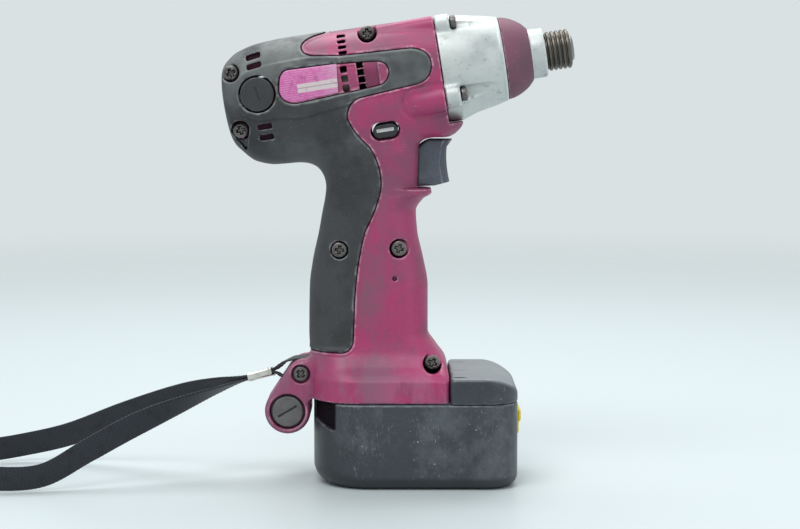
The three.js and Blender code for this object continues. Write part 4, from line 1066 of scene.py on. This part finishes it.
shell = Shell(0.5)
piece("housing_half_right", "housing", "housing", housing_shape(shell, -1), ["housing_right"])
piece("grip_cover_right", "housing", "soft_grip", grip_shape(shell, -1), ["grip_right"])
piece("housing_half_left", "housing", "housing", mirrored(housing_shape(shell, 1)), ["housing_left"])
piece("grip_cover_left", "housing", "soft_grip", mirrored(grip_shape(shell, 1)), ["grip_left"])
piece("data_plate", "housing", "plate", plate_shape(), ["rating_plate"])


# ------------------------------------------------------------------ fasteners
def screw_shape(head_radius, head_height, shank_radius, length):
    """Pan head with a cross recess, facing -X at x = 0."""
    wide = head_radius + 0.6
    f = Field((-0.6, -wide, -wide), (length + 0.6, wide, wide), 0.2)
    r = np.hypot(f.y, f.z)
    head = both(r - head_radius + 0 * f.x, np.abs(f.x - head_height / 2) - head_height / 2, 0.9)
    head = both(head, -(f.x - 0.055 * r * r), 0.1)
    pitch = 0.22 * np.abs(((f.x / 1.3 + np.arctan2(f.z, f.y) / (2 * math.pi)) % 1) - 0.5) * 2
    shank = both(r - shank_radius - 0.12 + pitch, np.abs(f.x - length / 2 - 1) - length / 2 + 1, 0.6)
    d = join(head, shank, 0.4)
    taper = 0.5 + 0.42 * ramp(-f.x, -2.2, 0)
    bar1 = both(np.abs(f.y) - taper + 0 * f.z, np.abs(f.z) - 2.5 + 0.5 * f.x, 0.3)
    bar2 = both(np.abs(f.z) - taper + 0 * f.y, np.abs(f.y) - 2.5 + 0.5 * f.x, 0.3)
    cross = both(np.minimum(bar1, bar2), f.x - 1.9, 0.3)
    f.d = both(d, -cross, 0.35).astype(F4)
    return skin(f)


def drive(name, replaced, shape, turn, place):
    """Turns a screw about its own axis and puts it where place says."""
    points, quads, values = shape
    along, y, z = points.T
    u = y * math.cos(turn) - z * math.sin(turn)
    v = y * math.sin(turn) + z * math.cos(turn)
    piece(name, "housing", "dark_screws", (place(along, u, v), quads[:, ::-1], values), [replaced])


for number, (name, (sx, sz, seat)) in enumerate(SCREWS.items()):
    drive(f"screw_{name}", f"housing_screw_{name}",
          screw_shape(SCREW_HEAD_R, SCREW_HEAD_H, SCREW_SHANK_R, seat + SCREW_BITE), 0.5 + 1.37 * number,
          lambda along, u, v: np.stack([sx + u, along - seat - SCREW_HEAD_H - GAP, sz + v], 1))
case_screw = screw_shape(CASE_SCREW_HEAD_R, CASE_SCREW_HEAD_H, CASE_SCREW_SHANK_R, CASE_SCREW_LENGTH)
for number, (sy, sh) in enumerate(CASE_SCREWS):
    drive(f"case_bolt_{number + 1}", f"case_screw_{number + 1}", case_screw, 0.9 + 1.1 * number,
          lambda along, u, v: from_head(np.stack([CASE_SCREW_FACE - along, sy + u, sh + v], 1)))


def cap_shape():
    """Brush cap: flat disc with a soft rim and a shallow worn slot, facing -Y."""
    f = Field((-9.4, -29.2, -9.4), (9.4, -20.8, 9.4), 0.28)
    r = np.hypot(f.x, f.z)
    face = f.y - CAP_FACE_Y - 0.12 * ramp(r, 0, 7)
    d = both(both(r - CAP_R + 0.15 + 0 * f.y, -face, 1.0), f.y - CAP_BACK_Y, 0.3)
    slot = both(np.abs(f.x * 0.96 + f.z * 0.28) - 0.45 + 0 * f.y, np.abs(f.z * 0.96 - f.x * 0.28) - 3.4, 0.4)
    ring = np.abs(r - CAP_RING_R) - 0.2 + 0 * f.y
    d = both(d, -both(slot, f.y + 27.7, 0.2), 0.3)
    f.d = both(d, -both(ring, f.y + 28.0, 0.1), 0.3).astype(F4)
    points, quads, values = skin(f)
    return points + CAP_CENTRE, quads, values


cap = cap_shape()
piece("brush_cover_right", "housing", "dark_plastic", cap, ["brush_cap_right"], look="cap")
piece("brush_cover_left", "housing", "dark_plastic", mirrored(cap), ["brush_cap_left"], look="cap")


def coin_screw_shape():
    """Plastic screw with a flat head and a coin slot, facing -Y."""
    f = Field((-9, -14.4, -9), (9, 7.2, 9), 0.26)
    r = np.hypot(f.x, f.z)
    d = both(r - COIN_HEAD_R + 0 * f.y, np.abs(f.y + 11.35) - 2.05, 0.7)
    d = join(d, both(r - COIN_SHANK_R + 0 * f.y, np.abs(f.y + 2) - 8.5, 0.5), 0.3)
    a = math.radians(31)
    across, along = -f.x * math.sin(a) + f.z * math.cos(a), f.x * math.cos(a) + f.z * math.sin(a)
    slot = both(both(np.abs(across) - 0.5 + 0 * f.y, np.abs(along) - 5.4, 0.4), f.y + 12.4, 0.2)
    f.d = both(d, -slot, 0.4).astype(F4)
    points, quads, values = skin(f)
    return points + (RING_X, 0, RING_Z), quads, values


piece("coin_screw", "housing", "dark_plastic", coin_screw_shape(), ["hook_screw"], look="coin")


# ------------------------------------------------------------------ nose, in the barrel's frame
def case_shape():
    step = 0.45
    f = Field((-5, -30, -30), (54, 30, 31), step)
    s, y, h = f.x, f.y, f.z
    r = np.hypot(y, h)
    outer = smooth([(-6, 25.2), (0.3, 25.2), (12, 24.3), (22, 22.6), (29.2, 20.95), (31.2, 20.4)], s)[0]
    lip = 0.35 * ramp(s, 29.6, 30.1)
    keel = smooth([(-6, 26.9), (0.3, 26.9), (7.8, 27.0), (8.6, 26.6), (31.3, 20.4), (54, 20.4)], s)[0]
    foot = np.maximum(keel - outer, 0) * ramp(-h / np.maximum(r, 1), 0.55, 0.93)
    d = both(both(r - outer - lip - foot, s - 31.3, 0.5), 0.3 - s, 0.5)
    cone = smooth([(29, 19.9), (31.3, 19.2), (38, 16.5), (44.9, 12.4), (45.3, 12.2), (54, 12.2)], s)[0]
    d = join(d, both(r - cone, np.abs(s - 35) - 17.3, 0.8), 0.3)
    d = join(d, both(r - 22.4 + 0 * s, np.abs(s + 0.5) - 3.3, 0.3), 0.2)
    for sy, sh in CASE_SCREWS:
        size = CASE_TOP_BOSS if sh > 0 else CASE_BOSS
        boss = both(np.hypot(y - sy, h - sh) - size + 0 * s, np.abs(s - 3.9) - 3.6, 1.4)
        d = join(d, np.maximum(boss, 21 - r), 2.4)
    bore = smooth([(-6, 20.9), (0.3, 20.9), (20, 20.2), (32.3, 17.5), (54, 17.5)], s)[0]
    d = both(d, -both(r - bore, s - 32.3, 0.3), 0.2)
    d = both(d, -(r - 9.8 + 0 * s), 0.5)
    for sy, sh in CASE_SCREWS:
        away = np.hypot(y - sy, h - sh)
        d = both(d, -both(away - 4.1 + 0 * s, 7.5 - s, 0), 0.4)
        d = both(d, -(away - 2.2 + 0 * s), 0.1)
    # fine parting line along the top and bottom of the casting
    line = both(np.abs(y) - 0.5 + 0 * s, np.abs(r - outer) - 0.25, 0.1)
    d = join(d, both(line, np.abs(s - 15.5) - 14, 0.3), 0.4)
    f.d = d.astype(F4)
    points, quads, values = skin(f)
    return from_head(points), quads, values


piece("cast_case", "housing", "cast_alloy", case_shape(), ["hammer_case"])
line = np.linspace(31.8, 44.9, 26)
skin_r = smooth([(31.6, 20.35), (34, 19.95), (37, 18.95), (42, 16), (45, 12.95)], line)[0]
seat_r = smooth([(31.6, 19.5), (38.2, 16.8), (45, 12.75)], line)[0]
bumper = [(31.6, 19.55), (31.6, 20.05), *zip(line, skin_r), (45.0, 12.85), *zip(line[-2::-1], seat_r[-2::-1])]
piece("bumper_ring", "housing", "bumper", turned(bumper, 144), ["nose_bumper"])
ribs = []
for i in range(5):
    at = 53.5 + 2.3 * i
    ribs += [(at, 8.8), (at + 0.4, 9.6), (at + 1.5, 9.7), (at + 1.9, 8.8)]
sleeve = [(53, 8.3), (53, 8.8), *ribs, (64.7, 8.8), (65, 8.4), (65, 7.9), (60.4, 7.9), (60.4, 6.7),
          (56.5, 6.7), (56.5, 8.2), (53.2, 8.2)]
piece("ribbed_sleeve", "guide_sleeve", "dark_steel", turned(rounded(sleeve, 0.25, 3)), ["guide_sleeve"])


# ------------------------------------------------------------------ controls
TRIGGER = bent(
    (0, 147), (9, 147.2), (16.6, 149.2), (14.4, 158.5, 15.2, 166.5), (18, 170.4), (7, 170.5),
    (2.5, 169.5, 0, 165.5))


def trigger_shape():
    f = Field((-13, -10, 145), (20, 10, 172.5), 0.32)
    flat = outline(TRIGGER, f.x, f.z)
    front = smooth([(145, 16.9), (149.2, 16.2), (158.5, 14.9), (166.5, 15.6), (172, 18.4)], f.z)[0]
    band = ramp(f.x, front - 3.4, front - 2.5)
    crown = 0.0035 * f.y ** 2
    d = both(flat + crown, np.abs(f.y) - 9 + 0.9 * band, 1.6)
    stem = both(np.hypot(f.y, f.z - 158) - 2.5 + 0 * f.x, np.abs(f.x + 5.5) - 6.5, 0.3)
    f.d = join(d, stem, 0.4).astype(F4)
    return skin(f)


piece("trigger_lever", "trigger", "trigger", trigger_shape(), ["trigger"])


def button_shape():
    f = Field((-39, -26.2, -31), (-23.4, 26.2, -20.2), 0.3)
    s, y, h = f.x, f.y, f.z
    d = both(button_flat(s, h) + 0 * y, np.abs(y) - BUTTON_SPAN, 1.3)
    bar = slot2(s, h, (BUTTON_S, BUTTON_H + 0.4), (3.9, 0.55), 0.5)
    d = both(d, -both(bar + 0 * y, BUTTON_SPAN - 0.4 - np.abs(y), 0.1), 0.25)
    f.d = d.astype(F4)
    points, quads, values = skin(f)
    mark = (np.abs(points[:, 2] - BUTTON_H - 0.4) < 0.75) & (np.abs(points[:, 0] - BUTTON_S) < 4.2)
    values["mark"] = (mark & (np.abs(points[:, 1]) > BUTTON_SPAN - 0.7)).astype(F4)
    return from_head(points), quads, values


piece("direction_button", "reverse_button", "dark_plastic", button_shape(), ["reverse_button"], look="button")


# ------------------------------------------------------------------ battery
def pocket(x, z):
    """Outline of the hand recess seen from the side. It bends upwards towards the rear."""
    return slot2(x, z - 4.0 * ramp(-x, 40, 50) + 0.6, (-48, 37.8), (8.6, 8.2), 1.0)


def lower_shape():
    step = 0.6
    f = Field((-52.4, -36.6, -1.2), (52.8, 36.6, 43.4), step)
    side = plan(f.x, f.y, *BATTERY) + 0.12 * ramp(np.abs(f.z - 38.8), 0.55, 0.1)
    bigger_at_rear = 4.5 * ramp(-f.x, 20, 46)
    d = fillet(side, -f.z + 0 * f.y, 6.0 + bigger_at_rear)
    d = both(d, f.z - (SEAM - GAP), 1.0)
    # hand recess in each rear corner
    recess = np.maximum(pocket(f.x, f.z) + 0 * f.y, -(side + 1.75))
    recess = np.maximum(recess, 12 - np.abs(f.y))
    d = both(d, -recess, 0.4)
    d = both(d, -fillet(side + 2.6, 2.8 - f.z + 0 * f.y, 8.0 + bigger_at_rear), 0.3)
    d = both(d, -box(f.x, f.y, f.z, (51.3, 0, 29.6), (2.6, 12.5, 10.2), 2.2), 0.8)
    d = both(d, -box(f.x, f.y, f.z, (51.3, 0, 29.5), (8, 9, 7.4), 0.8), 0.4)
    for y0 in (-24, 24):
        d = both(d, -box(f.x, f.y, f.z, (0, y0, 0), (30, 1.2, 0.6), 0.5), 0.3)
    f.d = d.astype(F4)
    points, quads, values = skin(f)
    x, y, z = points.T
    deep = -plan(x, y, *BATTERY)
    values["shade"] = ramp(-pocket(x, z), -0.1, 0.5) * ramp(deep, 0.6, 1.4) * (np.abs(y) > 11)
    return points, quads, values


def upper_shape():
    step = 0.6
    f = Field((-50.4, -36.4, 38.2), (52.8, 36.4, 100.2), step)
    x, y, z = f.x, f.y, f.z
    lid = both(plan(x, y, *BATTERY) + 2.7 + 0 * z, np.abs(z - 41) - 1.6, 0.3)
    _, front, half, _, front_radius = BATTERY
    block_plan = plan(x, y, BLOCK_REAR, front, half, 2.4, front_radius)
    top = BLOCK_TOP - 6.5 * np.maximum((x - 33) / 17, 0) ** 2
    block = fillet(block_plan + 0 * z, (z - top) * 0.9 + 0 * y, 2.4)
    block = both(block, SEAM - z, 0.6)
    stem_plan = plan(x, y, *STEM)
    stem = both(stem_plan + 0 * z, z - STEM_TOP, 2.4)
    hollow_stem = both(stem_plan + 2.2 + 0 * z, z - (STEM_TOP - 2.2), 0.3)
    hollow_block = both(block_plan + 2.7 + 0 * z, z - top + 2.8, 0.3)
    d = join(join(lid, block), stem, 0.4)
    d = both(d, -hollow_stem, 0.2)
    d = both(d, -hollow_block, 0.2)
    for y0 in (-29, -4, 24):
        d = both(d, -box(x, y, z, (21.0, y0, BLOCK_TOP), (3.4, 1.0, 1.1), 0.5), 0.3)
    for y0 in (-6, 6):
        d = both(d, -box(x, y, z, (-24, y0, STEM_TOP), (10, 1.1, 3.5), 0.4), 0.2)
    f.d = d.astype(F4)
    return skin(f)


piece("battery_case", "battery", "battery_case", lower_shape(), ["battery_lower"])
piece("battery_head", "battery", "battery_case", upper_shape(), ["battery_upper"])


def latch_shape():
    f = Field((43.4, -9.6, 21.4), (53.4, 9.6, 37.4), 0.3)
    d = box(f.x, f.y, f.z, (47.5, 0, 29.5), (2.7, 8.6, 7.1), 0.5)
    d = join(d, box(f.x, f.y, f.z, (51.0, 0, 32.4), (1.5, 7.5, 3.4), 1.3), 0.6)
    d = join(d, box(f.x, f.y, f.z, (50.6, 0, 26.4), (0.9, 7.5, 3.0), 0.8), 0.6)
    for i in range(3):
        d = both(d, -box(f.x, f.y, f.z, (52.7, 0, 30.6 + 1.8 * i), (0.5, 6, 0.35), 0.2), 0.3)
    f.d = d.astype(F4)
    return skin(f)


piece("battery_release", "latch", "latch", latch_shape(), ["battery_latch"])

# ------------------------------------------------------------------ CAD pieces that stay
NODES_BY_LOOK = {
    "steel": (
        "anvil", "sleeve_spring", "bit_ball_right", "bit_ball_left", "spindle", "spindle_bearing", "hammer",
        "cam_ball_right", "cam_ball_left", "spring_washer", "hammer_spring", "ring_gear", "planet_gear_right",
        "planet_gear_left", "motor_shaft", "rear_bearing"),
    "bronze": ("anvil_bush", "battery_contact_plus", "battery_contact_minus"),
    "dark_plastic": ("fan", "switch_body", "terminal_block"),
    "carbon": ("carbon_brush_right", "carbon_brush_left"),
    "magnets": ("magnet_top", "magnet_bottom"),
    "copper_windings": ("armature",), "dark_steel": ("motor_yoke",), "cast_alloy": ("bearing_plate",),
    "cell_wrap": ("cell_pack",)}
for look, names in NODES_BY_LOOK.items():
    for name in names:
        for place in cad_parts[name].material_slots:
            place.material = LOOKS[look].material

# ------------------------------------------------------------------ floor and light
floor_mesh = bpy.data.meshes.new("floor")
corners = [(6 * math.cos(a), 6 * math.sin(a), 0) for a in np.linspace(0, 2 * math.pi, 64, endpoint=False)]
floor_mesh.from_pydata(corners, [], [tuple(range(64))])
floor = bpy.data.objects.new("floor", floor_mesh)
bpy.context.collection.objects.link(floor)
ground = Look("pale_floor", (196, 204, 206), 0.42, specular=0.35)
ground.bump(ground.noise(30, 3, 0.5), 0.05, 0.1)
# the floor fades out with distance
away = ground.node("ShaderNodeVectorMath", {0: ground.coord}, operation="LENGTH").outputs["Value"]
clear = ground.node("ShaderNodeBsdfTransparent").outputs[0]
fading = ground.span(away, 0.5, 1.7)
blend = ground.node("ShaderNodeMixShader", {0: fading, 1: ground.shader.outputs[0], 2: clear})
ground.feed(ground.tree.nodes["Material Output"], {"Surface": blend.outputs[0]})
floor_mesh.materials.append(ground.material)

world = bpy.data.worlds.new("studio")
bpy.context.scene.world = world
world.use_nodes = True
backdrop = world.node_tree.nodes["Background"].inputs
backdrop["Color"].default_value = tone(217, 225, 226)
backdrop["Strength"].default_value = 1.0


def softbox(name, where, size, power):
    """Rectangular lamp that faces the middle of the tool."""
    light = bpy.data.lights.new(name, "AREA")
    light.shape = "RECTANGLE"
    light.size, light.size_y = size
    light.energy = power
    made = bpy.data.objects.new(name, light)
    made.location = where
    made.rotation_euler = (Vector((0, 0, 0.12)) - Vector(where)).to_track_quat("-Z", "Y").to_euler()
    bpy.context.collection.objects.link(made)


softbox("key", (-0.35, -0.6, 1.1), (0.7, 0.5), 7)
softbox("top", (0.05, 0.45, 1.1), (1.0, 0.7), 9)
softbox("fill", (0.9, -0.8, 0.5), (0.7, 0.9), 2)
